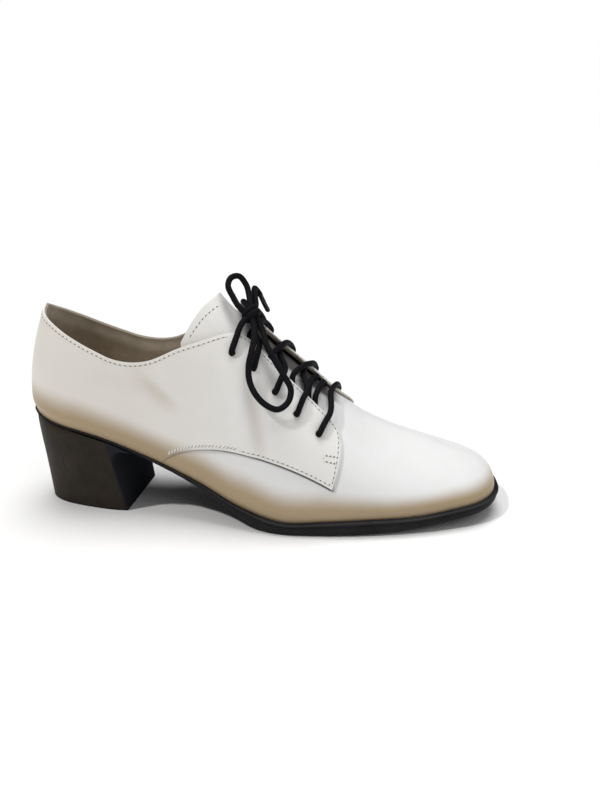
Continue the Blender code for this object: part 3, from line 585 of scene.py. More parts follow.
def deselect():
    if bpy.context.object and bpy.context.object.mode != "OBJECT":
        bpy.ops.object.mode_set(mode="OBJECT")
    bpy.ops.object.select_all(action="DESELECT")


def make_active(piece):
    deselect()
    piece.select_set(True)
    bpy.context.view_layer.objects.active = piece


def name_piece(piece, name):
    piece.name = name
    piece.data.name = name
    return piece


def to_metres(points):
    return (np.asarray(points, dtype=float) - ORIGIN) * MM


def read_points(mesh):
    flat = np.empty(len(mesh.vertices) * 3)
    mesh.vertices.foreach_get("co", flat)
    return flat.reshape(-1, 3)


def write_points(mesh, points):
    mesh.vertices.foreach_set("co", np.ascontiguousarray(points, dtype=np.float32).ravel())
    mesh.update()


def paint(piece, name, values):
    """Store one number for each point of a piece, for its material."""
    layer = piece.data.attributes.get(name) or piece.data.attributes.new(name, "FLOAT", "POINT")
    layer.data.foreach_set("value", np.ascontiguousarray(values, dtype=np.float32))


def wrap_grid(name, columns, rows, place, marks=None):
    """Grid primitive laid on a surface: place(i, j) gives points for arrays of column and row numbers.

    marks(i, j) gives numbers to paint on the points, by name."""
    deselect()
    bpy.ops.mesh.primitive_grid_add(x_subdivisions=columns, y_subdivisions=rows, size=1.0)
    piece = name_piece(bpy.context.object, name)
    flat = read_points(piece.data)
    i = np.rint((flat[:, 0] + 0.5) * columns).astype(int)
    j = np.rint((flat[:, 1] + 0.5) * rows).astype(int)
    write_points(piece.data, to_metres(place(i, j)))
    if marks:
        for mark, values in marks(i, j).items():
            paint(piece, mark, values)
    return piece, i, j


def edit(piece, *steps):
    """Run edit-mode steps on the whole mesh."""
    make_active(piece)
    bpy.ops.object.mode_set(mode="EDIT")
    bpy.ops.mesh.select_all(action="SELECT")
    for step in steps:
        step()
    bpy.ops.object.mode_set(mode="OBJECT")


def weld(distance=0.002):
    return lambda: bpy.ops.mesh.remove_doubles(threshold=distance * MM)


def turn_over():
    bpy.ops.mesh.flip_normals()


def face_out():
    bpy.ops.mesh.normals_make_consistent(inside=False)


def delete_faces(piece, chosen):
    """Delete the faces that are marked true."""
    make_active(piece)
    mesh = piece.data
    for part in (mesh.vertices, mesh.edges, mesh.polygons):
        part.foreach_set("select", np.zeros(len(part), dtype=bool))
    mesh.polygons.foreach_set("select", np.asarray(chosen, dtype=bool))
    bpy.ops.object.mode_set(mode="EDIT")
    bpy.ops.mesh.select_mode(type="FACE")
    bpy.ops.mesh.delete(type="FACE")
    bpy.ops.object.mode_set(mode="OBJECT")


def face_means(piece, values):
    """Mean over each face of a number known at each point."""
    return np.array([np.mean([values[v] for v in face.vertices]) for face in piece.data.polygons])


def join(pieces):
    deselect()
    for piece in pieces:
        piece.select_set(True)
    bpy.context.view_layer.objects.active = pieces[0]
    bpy.ops.object.join()
    return pieces[0]


def finish_with(piece, kind, **values):
    """Add one modifier with its values and apply it."""
    make_active(piece)
    bpy.ops.object.modifier_add(type=kind)
    modifier = piece.modifiers[-1]
    for name, value in values.items():
        setattr(modifier, name, value)
    bpy.ops.object.modifier_apply(modifier=modifier.name)


def round_edges(piece, width, segments, degrees=EDGE_ANGLE):
    """Bevel the edges that turn by more than an angle."""
    finish_with(
        piece, "BEVEL", width=width * MM, segments=segments, limit_method="ANGLE",
        angle_limit=math.radians(degrees))


def shade(piece, degrees=SHADE_ANGLE):
    make_active(piece)
    bpy.ops.object.shade_smooth_by_angle(angle=math.radians(degrees))


def make_shell(piece, wall, width):
    """Give a skin its thickness, inwards, and round its edges."""
    finish_with(piece, "SOLIDIFY", thickness=wall, offset=-1.0)
    round_edges(piece, width, 2)
    shade(piece)


def make_halves(name, share_list, rows, place, gone):
    """Skin of both sides in one piece: place(side) gives points and marks, gone(share, row) the faces left out."""
    halves = []
    for side in SIDES:
        points, marks = place(side)
        half, i, j = wrap_grid(
            name + "_" + side_name(side), len(share_list) - 1, rows, lambda i, j: points[i, j],
            lambda i, j: {mark: values[i, j] for mark, values in marks.items()})
        share, row = face_means(half, share_list[i]), face_means(half, j.astype(float))
        delete_faces(half, gone(share, row))
        if side == MEDIAL:
            edit(half, turn_over)
        halves.append(half)
    piece = name_piece(join(halves), name)
    edit(piece, weld())
    return piece


def fill_bands(bounds, steps):
    """Rows from bound to bound, each band in its own number of steps."""
    rows = []
    for low, high, count in zip(bounds, bounds[1:], steps):
        rows += [low + (high - low) * k / count for k in range(count)]
    return np.stack(rows + [bounds[-1]], axis=1)


def runs_of(*parts):
    """Numbers along a piece: (start, end, steps) for each run."""
    lines = [np.linspace(start, end, steps + 1)[:-1] for start, end, steps in parts]
    return np.concatenate(lines + [[parts[-1][1]]])


def across_faces(first, second, rows):
    """Straight rows of points from one edge to another."""
    return first[:, None] + (second - first)[:, None] * np.linspace(0, 1, rows + 1)[None, :, None]


def dress(piece, material, slot, *nodes):
    """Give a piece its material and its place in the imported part."""
    if material.name not in piece.data.materials:
        piece.data.materials.append(material)
    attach(piece, "root")
    if nodes:
        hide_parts(*nodes)
    return piece


# ---- materials ------------------------------------------------------------------------------------

def new_group(name, inputs, outputs):
    """Empty node group with named number or vector sockets."""
    group = bpy.data.node_groups.new(name, "ShaderNodeTree")
    kinds = {"value": "NodeSocketFloat", "vector": "NodeSocketVector"}
    for socket, kind, default in inputs:
        made = group.interface.new_socket(socket, in_out="INPUT", socket_type=kinds[kind])
        if default is not None:
            made.default_value = default
    for socket in outputs:
        group.interface.new_socket(socket, in_out="OUTPUT", socket_type=kinds["value"])
    return Tree(group), group.nodes.new("NodeGroupInput"), group.nodes.new("NodeGroupOutput")


class Tree:
    """Short way to place nodes and join them."""

    def __init__(self, tree):
        self.tree = tree

    def put(self, socket, value):
        if isinstance(value, bpy.types.NodeSocket):
            self.tree.links.new(value, socket)
        else:
            socket.default_value = value

    def fill(self, node, values):
        """Values or links for the sockets of a node."""
        for socket, value in values.items():
            self.put(node.inputs[socket], value)

    def node(self, kind, values=None, **settings):
        made = self.tree.nodes.new("ShaderNode" + kind)
        for name, value in settings.items():
            setattr(made, name, value)
        self.fill(made, values or {})
        return made

    def group(self, build, **values):
        """Group of nodes, built when it is first used."""
        made = self.node("Group")
        made.node_tree = bpy.data.node_groups.get(build.__name__) or build(build.__name__)
        self.fill(made, values)
        return made.outputs

    def painted(self, name):
        """Number painted on the points of a piece."""
        return self.node("Attribute", attribute_name=name).outputs["Fac"]

    def maths(self, operation, first, second=0.0):
        return self.node("Math", {0: first, 1: second}, operation=operation).outputs[0]

    def times(self, first, second):
        return self.maths("MULTIPLY", first, second)

    def spread(self, value, low, high, to_low=0.0, to_high=1.0):
        """A value's range carried to another, softly."""
        made = self.node(
            "MapRange", {"Value": value, "From Min": low, "From Max": high, "To Min": to_low, "To Max": to_high},
            interpolation_type="SMOOTHSTEP")
        return made.outputs[0]

    def vary(self, cloud, to_low=0.0, to_high=1.0):
        """The middle range of a noise carried to another."""
        return self.spread(cloud, *NOISE_RANGE, to_low, to_high)

    def blend(self, share, first, second):
        return self.node("Mix", {0: share, 6: first, 7: second}, data_type="RGBA").outputs[2]

    def noise(self, where, scale, detail):
        values = {"Vector": where, "Scale": scale, "Detail": detail, "Roughness": NOISE_ROUGHNESS}
        return self.node("TexNoise", values).outputs[0]

    def bump(self, height, strength, distance):
        return self.node("Bump", {"Height": height, "Strength": strength, "Distance": distance}).outputs["Normal"]


def rgba(values):
    return (*values, 1.0)


def toned(base, factor, add=0.0):
    """A colour made lighter or darker."""
    return rgba(np.array(base) * factor + add)


def leather_grain(name):
    """Fine pebbles and soft pores of finished leather: a height and a patchy tone."""
    t, given, result = new_group(
        name, [("Where", "vector", None), ("Grain", "value", 900.0)], ["Height", "Tone", "Cloud"])
    where = given.outputs["Where"]
    cells = t.node("TexVoronoi", {"Vector": where, "Scale": given.outputs["Grain"]}, feature="DISTANCE_TO_EDGE")
    pebbles = t.spread(cells.outputs["Distance"], 0.0, 0.25)
    t.fill(result, {
        "Height": t.maths("ADD", t.times(pebbles, 0.65), t.times(t.noise(where, 2200.0, 2.0), 0.35)),
        "Tone": t.spread(t.noise(where, 130.0, 3.0), 0.32, 0.68),
        "Cloud": t.spread(t.noise(where, 26.0, 2.0), 0.35, 0.65)})
    return t.tree


def sole_shade(name):
    """Painted tan shade of the leather along the sole, from the height above the feather line."""
    t, given, result = new_group(
        name, [("Where", "vector", None), ("Up", "value", 0.0), ("Reach", "value", 21.0)], ["Mask"])
    uneven = t.noise(given.outputs["Where"], 20.0, 2.0)
    shift = t.times(t.maths("SUBTRACT", uneven, 0.5), 5.0)
    up = t.maths("DIVIDE", t.maths("ADD", given.outputs["Up"], shift), given.outputs["Reach"])
    t.fill(result, {"Mask": t.spread(up, 0.31, 0.95, 1.0, 0.0)})
    return t.tree


def braided_cord(name):
    """Plaited surface of a round cord from its own UV: along in mm, around from 0 to 1."""
    t, given, result = new_group(
        name, [("Where", "vector", None), ("Strands", "value", 6.0), ("Lay", "value", 0.42)], ["Height"])
    parts = t.node("SeparateXYZ", {0: given.outputs["Where"]})
    along = t.times(parts.outputs[0], given.outputs["Lay"])
    around = t.times(parts.outputs[1], given.outputs["Strands"])
    waves = [
        t.maths("ABSOLUTE", t.maths("SINE", t.times(t.maths(turn, along, around), math.pi)))
        for turn in ("ADD", "SUBTRACT")]
    t.fill(result, {"Height": t.maths("MAXIMUM", *waves)})
    return t.tree


def start_material(name):
    material = bpy.data.materials.new(name)
    material.use_nodes = True
    t = Tree(material.node_tree)
    shader = material.node_tree.nodes["Principled BSDF"]
    where = t.node("TexCoord").outputs["Object"]
    return material, t, shader, where


def finished_leather(name, base, aged, shade_colour, grain, gloss, soil, coat):
    """Smooth white leather with a satin finish, fine grain, and painted shade: tan along the sole, darker in
    creases.
    """
    material, t, shader, where = start_material(name)
    skin_group = t.group(leather_grain, Where=where, Grain=grain)
    sole_shade_mask = t.group(sole_shade, Where=where, Up=t.painted("up"))["Mask"]
    tone = t.blend(skin_group["Tone"], rgba(base), toned(base, WARMER))
    forward = t.node("SeparateXYZ", {0: where}).outputs[0]
    tone = t.blend(t.spread(forward, *AGED_BEHIND, 1.0, 0.0), tone, rgba(aged))
    # Painted shade in the troughs of the creases.
    tone = t.blend(t.times(t.painted("crease_shade"), FOLD_SHADE), tone, rgba(shade_colour))
    # Painted shade along the sole: tan, stronger the lower the leather lies.
    tone = t.blend(t.times(sole_shade_mask, soil), tone, rgba(shade_colour))
    t.fill(shader, {
        # Painted shade in the crevices: along the quarter's lower edge and under the medial facing.
        "Base Color": t.blend(t.times(t.painted("crevice"), CREVICE_SHADE), tone, rgba(colours().crevice)),
        "Roughness": t.spread(skin_group["Cloud"], 0.0, 1.0, gloss - 0.05, gloss + 0.07),
        "Normal": t.bump(skin_group["Height"], 0.09, 0.0001),
        "Coat Weight": coat, "Coat Roughness": 0.32, "Specular IOR Level": 0.45})
    return material


def plain_leather(name, base, dark, grain, gloss):
    """Unfinished leather of lining and insole."""
    material, t, shader, where = start_material(name)
    skin_group = t.group(leather_grain, Where=where, Grain=grain)
    t.fill(shader, {
        "Base Color": t.blend(skin_group["Tone"], rgba(base), toned(base, dark)),
        "Roughness": t.spread(skin_group["Cloud"], 0.0, 1.0, gloss - 0.06, gloss + 0.06),
        "Normal": t.bump(skin_group["Height"], 0.35, 0.00015), "Specular IOR Level": 0.3})
    return material


def cut_edge_leather(name, base, folded):
    """Edge of a quarter: raw and tan where it is cut, white where it is folded over."""
    material, t, shader, where = start_material(name)
    fibre = t.noise(where, 1800.0, 3.0)
    raw = t.blend(t.vary(fibre), rgba(base), toned(base, 0.75))
    t.fill(shader, {
        "Base Color": t.blend(t.painted("cut"), rgba(folded), raw),
        "Roughness": t.vary(fibre, 0.45, 0.62), "Normal": t.bump(fibre, 0.2, 0.0001)})
    return material


def black_rubber(name, base):
    """Black sole: matt, with a fine tooth, and a paler painted highlight along the top of its rand."""
    material, t, shader, where = start_material(name)
    cloud = t.noise(where, 70.0, 4.0)
    painted_light = t.times(t.painted("rubbed"), t.vary(cloud, 0.55, 1.0))
    tone = t.blend(t.spread(cloud, 0.35, 0.7, 0.0, 0.45), rgba(base), toned(base, 1.7, 0.004))
    t.fill(shader, {
        "Base Color": t.blend(t.times(painted_light, HIGHLIGHT_STRENGTH), tone, rgba(colours().rubbed)),
        "Roughness": t.vary(cloud, 0.44, 0.58),
        "Normal": t.bump(t.noise(where, 1400.0, 3.0), 0.25, 0.00012), "Specular IOR Level": 0.05})
    return material


def heel_cover(name, base, breast):
    """Heel block: dark brown-black finish with faint upright brush marks, and a black breast."""
    material, t, shader, where = start_material(name)
    long_way = t.node("Mapping", {"Vector": where, "Scale": (1.0, 1.0, 0.12)}).outputs["Vector"]
    streak, cloud = t.noise(long_way, 420.0, 3.0), t.noise(where, 55.0, 4.0)
    tone = t.blend(t.spread(cloud, 0.3, 0.72), rgba(base), toned(base, (1.35, 1.22, 1.1), (0.003, 0.002, 0.001)))
    x, y, z = t.node("SeparateXYZ", {0: where}).outputs
    ahead = t.maths("SUBTRACT", t.maths("ADD", x, t.times(z, BREAST_RAKE)), t.times(y, BREAST_SKEW))
    line = (BREAST_LINE - ORIGIN[0]) * MM
    black = t.spread(ahead, line - BREAST_BLUR, line + BREAST_BLUR)
    black = t.maths("MAXIMUM", black, t.spread(z, *HEEL_FOOT, 1.0, 0.0))
    t.fill(shader, {
        "Base Color": t.blend(black, tone, rgba(breast)),
        "Specular IOR Level": t.spread(black, 0.0, 1.0, 0.10, 0.0),
        "Roughness": t.vary(streak, 0.50, 0.62), "Normal": t.bump(streak, 0.10, 0.00012)})
    return material


def braided_lace(name, base):
    """Black round lace: plaited strands with a dull sheen, and smooth tips."""
    material, t, shader, where = start_material(name)
    plait = t.group(braided_cord, Where=t.node("UVMap", uv_map="UVMap").outputs["UV"])["Height"]
    fuzz = t.noise(where, 2600.0, 2.0)
    tip = t.painted("tip")
    cloth = t.maths("SUBTRACT", 1.0, tip)
    height = t.maths("ADD", plait, t.times(fuzz, 0.25))
    t.fill(shader, {
        # Painted shade: the plait's grooves are darker than its crests.
        "Base Color": t.blend(t.times(t.maths("POWER", plait, 3.0), cloth), rgba(base), toned(base, 1.6, 0.001)),
        "Roughness": t.maths("ADD", t.times(t.vary(fuzz, 0.26, 0.46), cloth), 0.2),
        "Normal": t.bump(t.times(height, cloth), 0.5, 0.0003),
        "Specular IOR Level": t.maths("ADD", t.times(tip, 0.3), 0.02)})
    return material


def sewing_thread(name, base, gloss):
    """Twisted thread, with a slight change of tone from stitch to stitch."""
    material, t, shader, where = start_material(name)
    tone = t.noise(where, 320.0, 2.0)
    t.fill(shader, {
        "Base Color": t.blend(t.vary(tone), rgba(base), toned(base, 0.8)),
        "Roughness": t.vary(tone, gloss - 0.05, gloss + 0.05),
        "Normal": t.bump(t.noise(where, 4200.0, 1.0), 0.3, 0.00006)})
    return material


def pale_floor(name, base):
    """Plain pale floor without a shine."""
    material, t, shader, where = start_material(name)
    cloud = t.noise(where, 3.0, 2.0)
    t.fill(shader, {
        "Base Color": t.blend(cloud, rgba(base), toned(base, 0.985)),
        "Roughness": t.vary(cloud, 0.62, 0.70), "Specular IOR Level": 0.0})
    return material


def material_once(name, build, *tints, **finish):
    return bpy.data.materials.get(name) or build(name, *(tuple(tint) for tint in tints), **finish)


def vamp_leather():
    c = colours()
    return material_once(
        "white_vamp_leather", finished_leather, c.vamp, c.patina, c.soil,
        grain=850.0, gloss=0.34, soil=sizes().soil, coat=0.12)


def quarter_leather():
    c = colours()
    return material_once(
        "white_quarter_leather", finished_leather, c.quarter, c.patina, c.soil,
        grain=800.0, gloss=0.38, soil=sizes().soil, coat=0.10)


# ---- vamp and tongue ------------------------------------------------------------------------------

def climb_length(side, share):
    """Rough length in mm of a whole climb."""
    steps = np.linspace(0, 1, 9)
    points = form(side, np.asarray(share)[..., None], steps)
    return np.linalg.norm(np.diff(points, axis=-2), axis=-1).sum(axis=-1)


def tongue_side(side, share):
    """Width at which the tongue ends under a quarter."""
    return smooth(TONGUE_SIDE, "share", side_name(side), np.clip(share, *TONGUE_SIDE["share"][[0, -1]]))


def vamp_bands(side, share):
    """Climbs that bound the vamp's bands: the strip under the quarter, the way in, and the tongue."""
    strip = seam_climb(side, share) + UNDERLAP
    edge = np.maximum(climb_where(side, share, Y_AXIS, tongue_side(side, share)), strip + LEAST_BANDS[0])
    top_height = smooth(TONGUE_TOP, "share", "height", np.clip(share, TONGUE_BACK, TONGUE_TIP))
    top = np.where(share >= TONGUE_JOINS, 1.0, climb_where(side, share, Z_AXIS, top_height))
    ahead = ease(THROAT_FROM, THROAT_TO, share)
    strip = strip + (FRONT_BANDS[0] - strip) * ahead
    edge = edge + (FRONT_BANDS[1] - edge) * ahead
    return strip, edge, np.maximum(top, edge + LEAST_BANDS[1])


def vamp_place(side, share_list):
    """Points of one side of the vamp and what is painted on them, by column and row."""
    strip, edge, top = vamp_bands(side, share_list)
    seam, length = seam_climb(side, share_list), climb_length(side, share_list)
    near = np.clip(seam - SEAM_ROWS_BELOW / length, *(part * strip for part in NEAR_LIMITS))
    line = np.clip(seam + SEAM_ROWS_ABOVE / length, near + LINE_LIMITS[0] * strip, LINE_LIMITS[1] * strip)
    climb = fill_bands((np.zeros_like(strip), near, line, strip, edge, top), VAMP_BAND_ROWS)
    share = np.broadcast_to(share_list[:, None], climb.shape)
    sink = ease(strip[:, None], edge[:, None], climb) * (1 - ease(*SINK_ENDS, share))
    points = skin(side, share, climb, -sink * sizes().tongue_drop / MM)
    points[:, 0, 2] -= SOLE_GAP
    # The painted shade along the sole narrows towards the toe.
    shade_narrowing = 1 + TOE_SHADE_NARROWING * ease(TOE_SHADE_NARROWS_FROM, TOE_SHADE_NARROWS_TO, share)
    below = (seam[:, None] - climb) * length[:, None]
    return points, {"up": climb * length[:, None] * shade_narrowing, "crevice": vamp_shade(side, share, below, points[..., 1])}


def vamp_shade(side, share, below, width):
    """Painted shade: a dark line along the quarter's lower edge, and the shade of the gap under the medial facing.
    """
    seam = (1 - ease(*SEAM_SHADE_BELOW, below)) * (1 - ease(*SEAM_SHADE_ABOVE, -below))
    seam = seam * (SEAM_SHADE_LEAST + (1 - SEAM_SHADE_LEAST) * ease(*SEAM_SHADE_GROWS, share))
    seam = seam * (1 - ease(*(tab_corner(side) + stop for stop in SEAM_SHADE_STOPS), share))
    edge = facing_width(MEDIAL, share) + FACING_SHADE_SHRINK * ease(*FACING_SHADE_SHRINKS, share)
    gap = ease(edge - FACING_SHADE_FAR, edge - FACING_SHADE_NEAR, width)
    gap = gap * ease(*FACING_SHADE_STARTS, share) * ease(*FACING_SHADE_ABOVE, -below)
    gap = gap * (1 - ease(*(tab_corner(MEDIAL) + stop for stop in FACING_SHADE_STOPS), share))
    return np.maximum(seam, gap)


def build_vamp():
    share_list = runs_of(*VAMP_RUNS)
    low, middle = sum(VAMP_BAND_ROWS[:3]), sum(VAMP_BAND_ROWS[:4])
    vamp = make_halves(
        "vamp", share_list, sum(VAMP_BAND_ROWS), lambda side: vamp_place(side, share_list),
        lambda share, row: (row > low) & ((row < middle) & (share < STRIP_ENDS) | (share < TONGUE_BACK)))
    make_shell(vamp, sizes().vamp_wall, EDGES["vamp"])
    dress(vamp, vamp_leather(), "white_leather_vamp", "upper", "tongue")


# ---- quarters -------------------------------------------------------------------------------------

def crease_lift(side, share, points):
    """Soft troughs and ridges worn into a quarter, at points of its face."""
    lift = np.zeros(share.shape)
    rows = CREASES[side]
    for a, za, b, zb, depth, half, fade in zip(*(rows[name] for name in rows)):
        start = skin(side, a, climb_where(side, a, Z_AXIS, za), 0.0)
        end = skin(side, b, climb_where(side, b, Z_AXIS, zb), 0.0)
        along = end - start
        length = np.linalg.norm(along)
        along = along / length
        away = points - start
        run = away @ along
        off = np.linalg.norm(away - run[..., None] * along, axis=-1)
        ends = ease(-fade, fade, run) * (1 - ease(length - fade, length + fade, run))
        lift -= depth * np.exp(-(off / half)**2) * ends
    for index in range(HOLE_COUNT):
        spot = over(side, *hole_spot(side, index), 0.0)
        off = np.linalg.norm(points - spot, axis=-1)
        lift -= PUCKER_DEPTH * np.exp(-(off / PUCKER_HALF)**2)
    return lift * sizes().crease


def quarter_columns(side):
    """Shares of a quarter's columns, closer together towards the tab."""
    corner = tab_corner(side)
    plain = runs_of((BACK_SEAM, 4, 8), (4, FACING_TOP, 57), (FACING_TOP, TAB_FROM, 21))[:-1]
    return np.concatenate([plain, corner - (corner - TAB_FROM) * (1 - np.linspace(0, 1, 16))**1.6])


def quarter_spots(side, columns, shares_up):
    """Share and climb over a quarter: its columns, and how far up each from seam to rim."""
    corner = tab_corner(side)
    blend = np.clip((columns - TAB_BLEND) / (corner - TAB_BLEND), 0, 1)
    share = columns + blend * smooth(TAB_EDGE, "climb", "shift", shares_up)
    seam = seam_climb(side, columns)
    rim = quarter_rim(side, columns + blend * TAB_EDGE["shift"][-1])
    return share, seam + shares_up * (rim - seam)


def quarter_face(side, columns, shares_up):
    """Points of a quarter's outer face."""
    share, climb = quarter_spots(side, columns, shares_up)
    base = form(side, share, climb)
    thin = ease(*SKIVE_STARTS, share) * (1 - ease(*SKIVE_ENDS, share))
    thin = 1 - SKIVE * thin * (1 - ease(0, SKIVE_UP, shares_up))
    drawn_in = (1 - ease(*DRAW_IN_ENDS, share)) * (1 - ease(0, DRAW_IN_CLIMB, climb))
    thin = thin * (1 - DRAW_IN * drawn_in)
    lift = sizes().quarter_face / MM * thin + crease_lift(side, share, base)
    return base + lift[..., None] * form_normal(side, share, climb)


def build_quarter(side):
    node = "quarter_" + side_name(side)
    columns = quarter_columns(side)
    rows = np.linspace(0, 1, QUARTER_ROWS + 1)
    grid_columns = np.broadcast_to(columns[:, None], (len(columns), len(rows)))
    grid_rows = np.broadcast_to(rows, grid_columns.shape)
    points = quarter_face(side, grid_columns, grid_rows)
    points[columns <= SEAM_START, 0, 2] -= SOLE_GAP
    share, climb = quarter_spots(side, grid_columns, grid_rows)
    up = climb * climb_length(side, columns)[:, None]
    cut = np.zeros_like(up)
    cut[columns > FACING_TOP, -1] = 1.0
    cut[-1, :] = 1.0
    # Painted shade in the troughs of the creases, full at a depth of FOLD_FULL mm.
    crease_shade = np.clip(-crease_lift(side, share, form(side, share, climb)) / FOLD_FULL, 0, 1)
    quarter, i, j = wrap_grid(
        node + "_leather", len(columns) - 1, QUARTER_ROWS, lambda i, j: points[i, j],
        lambda i, j: {"up": up[i, j], "cut": cut[i, j], "crease_shade": crease_shade[i, j]})
    if side == MEDIAL:
        edit(quarter, turn_over)
    edit(quarter, weld())
    edge = material_once("cut_leather_edge", cut_edge_leather, colours().cut_edge, colours().quarter)
    for material in (quarter_leather(), edge):
        quarter.data.materials.append(material)
    finish_with(quarter, "SOLIDIFY", thickness=sizes().quarter_wall, offset=-1.0, material_offset_rim=1)
    round_edges(quarter, EDGES["quarter"], 3)
    punch_holes(quarter, side)
    shade(quarter)
    dress(quarter, quarter_leather(), "white_leather_quarter", node)


def punch_holes(quarter, side):
    """Cut the five lace holes square through the leather."""
    punches = []
    for index in range(HOLE_COUNT):
        spot = over(side, *hole_spot(side, index), 0.0)
        axis = Vector(over(side, *hole_spot(side, index), 1.0) - spot)
        deselect()
        bpy.ops.mesh.primitive_cylinder_add(
            vertices=24, radius=sizes().hole_radius, depth=PUNCH_LENGTH * MM, location=to_metres(spot),
            rotation=axis.to_track_quat("Z", "Y").to_euler())
        bpy.ops.object.transform_apply(location=True, rotation=True, scale=True)
        punches.append(bpy.context.object)
    punch = join(punches)
    finish_with(quarter, "BOOLEAN", object=punch, operation="DIFFERENCE", solver="EXACT")
    bpy.data.objects.remove(punch, do_unlink=True)


# ---- lining and insole ----------------------------------------------------------------------------

def lining_place(side, share_list):
    """Points of one side of the lining: inside the quarter, and rising to its edge."""
    facing = climb_where(side, share_list, Y_AXIS, facing_width(side, share_list) + side * FACING_IN)
    rim = np.where(share_list < FACING_TOP, collar_climb(side, share_list, LINING_BELOW), facing)
    low = climb_where(side, share_list, Y_AXIS, tongue_side(side, share_list))
    low = np.where(share_list < LINING_SPLIT, rim * LINING_LOW, np.minimum(low, rim - LINING_LEAST))
    climb = fill_bands((np.zeros_like(rim), low, rim), LINING_BAND_ROWS)
    share = np.broadcast_to(share_list[:, None], climb.shape)
    below = (rim[:, None] - climb) * climb_length(side, share_list)[:, None]
    deep = LINING_DEEP + (FACING_DEEP - LINING_DEEP) * ease(*FACING_DEEP_AT, share)
    lift = deep + (LINING_HIGH - deep) * (1 - ease(0, LINING_RISE, below))
    return skin(side, share, climb, lift), {}


def build_lining():
    share_list = runs_of(*LINING_RUNS)
    lining = make_halves(
        "lining", share_list, sum(LINING_BAND_ROWS), lambda side: lining_place(side, share_list),
        lambda share, row: (row < LINING_BAND_ROWS[0]) & (share > STRIP_ENDS))
    make_shell(lining, sizes().lining_wall, EDGES["lining"])
    leather = material_once("lining_leather", plain_leather, colours().lining, dark=0.86, grain=1000.0, gloss=0.6)
    dress(lining, leather, "tan_insole")


def build_insole():
    shares = runs_of(*INSOLE_RUNS)
    edges = [feather(side, shares) - feather_out(side, shares) * INSOLE_INSET for side in SIDES]
    points = across_faces(*edges, INSOLE_ROWS)
    dish = INSOLE_DISH * np.sin(np.pi * np.linspace(0, 1, INSOLE_ROWS + 1))
    points[..., 2] += SOLE_GAP + sizes().insole_wall / MM - dish
    insole, i, j = wrap_grid("insole_sock", len(shares) - 1, INSOLE_ROWS, lambda i, j: points[i, j])
    edit(insole, weld(), face_out)
    if insole.data.polygons[len(insole.data.polygons) // 2].normal.z < 0:
        edit(insole, turn_over)
    make_shell(insole, sizes().insole_wall, EDGES["insole"])
    leather = material_once("insole_leather", plain_leather, colours().insole, dark=0.82, grain=900.0, gloss=0.55)
    dress(insole, leather, "tan_insole", "insole")


# ---- outsole and heel -----------------------------------------------------------------------------

def closed_plate(name, rings, columns, across):
    """Closed piece from rings of its two sides, with rows across its top and its underside."""
    patches = []
    count = rings[LATERAL].shape[1]
    for side in SIDES:
        patch, i, j = wrap_grid(
            name + "_edge", columns - 1, count - 1, lambda i, j: rings[side][i, j],
            lambda i, j: {"ring": j.astype(float)})
        patches.append(patch)
    for ring in (0, count - 1):
        face = across_faces(*(rings[side][:, ring] for side in SIDES), across)
        patch, i, j = wrap_grid(
            name + "_face", columns - 1, across, lambda i, j: face[i, j],
            lambda i, j: {"ring": np.full(len(i), float(ring))})
        patches.append(patch)
    plate = name_piece(join(patches), name)
    edit(plate, weld(), face_out)
    return plate


def build_outsole():
    shares = runs_of(*SOLE_RUNS)
    rings = {}
    for side in SIDES:
        foot, out = feather(side, shares), feather_out(side, shares)
        margin = smooth(SOLE, "x", "margin", foot[:, 0])[:, None]
        top = foot[:, 2] - SOLE_GAP
        under = smooth(SOLE, "x", "underside", np.clip((foot + out * margin)[:, 0], *SOLE["x"][[0, -1]]))
        under = np.maximum(under, 0.0)
        lines = []
        for down, inset in zip(SOLE_PROFILE["down"], SOLE_PROFILE["inset"]):
            ring = foot + out * (margin - inset)
            ring[:, 2] = top + (under - top) * down
            lines.append(ring)
        rings[side] = np.stack(lines, axis=1)
    sole = closed_plate("outsole_rubber", rings, len(shares), SOLE_ROWS)
    # Painted highlight on the ring near the top of the rand.
    ring = np.empty(len(sole.data.vertices), dtype=np.float32)
    sole.data.attributes["ring"].data.foreach_get("value", ring)
    paint(sole, "rubbed", np.exp(-((ring - HIGHLIGHT_RING) / HIGHLIGHT_SPREAD)**2))
    shade(sole, SOLE_SHADE_ANGLE)
    dress(sole, material_once("sole_rubber", black_rubber, colours().outsole), "black_outsole", "outsole")


def build_heel():
    shares, levels = runs_of(*HEEL_RUNS), runs_of(*HEEL_LEVEL_RUNS)
    rings = {}
    for side in SIDES:
        foot = feather(side, shares) + feather_out(side, shares) * HEEL_MARGIN
        back = foot[0, 0]
        along = (foot[:, 0] - back) / (foot[-1, 0] - back)
        rear = 1 - ease(HEEL_TAPER_BACK, HEEL_TAPER_FRONT, along)
        lines = []
        for level in levels:
            back_in, front_on, width, taper = (
                smooth(HEEL_LEVELS, "level", name, level) for name in ("back", "front", "width", "taper"))
            x = back + back_in + along * (HEEL_FRONT[side] + front_on - back - back_in)
            seat = straight(SOLE, "x", "underside", x) - SOLE_GAP
            y = foot[:, 1] * width * (1 - taper * rear)
            lines.append(np.stack([x, y, seat * (1 - level)], axis=1))
        rings[side] = np.stack(lines, axis=1)
    heel = closed_plate("heel_block", rings, len(shares), HEEL_ROWS)
    face = across_faces(*(rings[side][-1] for side in SIDES), HEEL_ROWS)
    front, i, j = wrap_grid("heel_breast", len(levels) - 1, HEEL_ROWS, lambda i, j: face[i, j])
    heel = name_piece(join([heel, front]), "heel_block")
    edit(heel, weld(), face_out)
    round_edges(heel, EDGES["heel"], 3, HEEL_EDGE_ANGLE)
    shade(heel)
    cover = material_once("dark_heel", heel_cover, colours().heel, colours().breast)
    dress(heel, cover, "black_heel", "heel")


# ---- lace -----------------------------------------------------------------------------------------

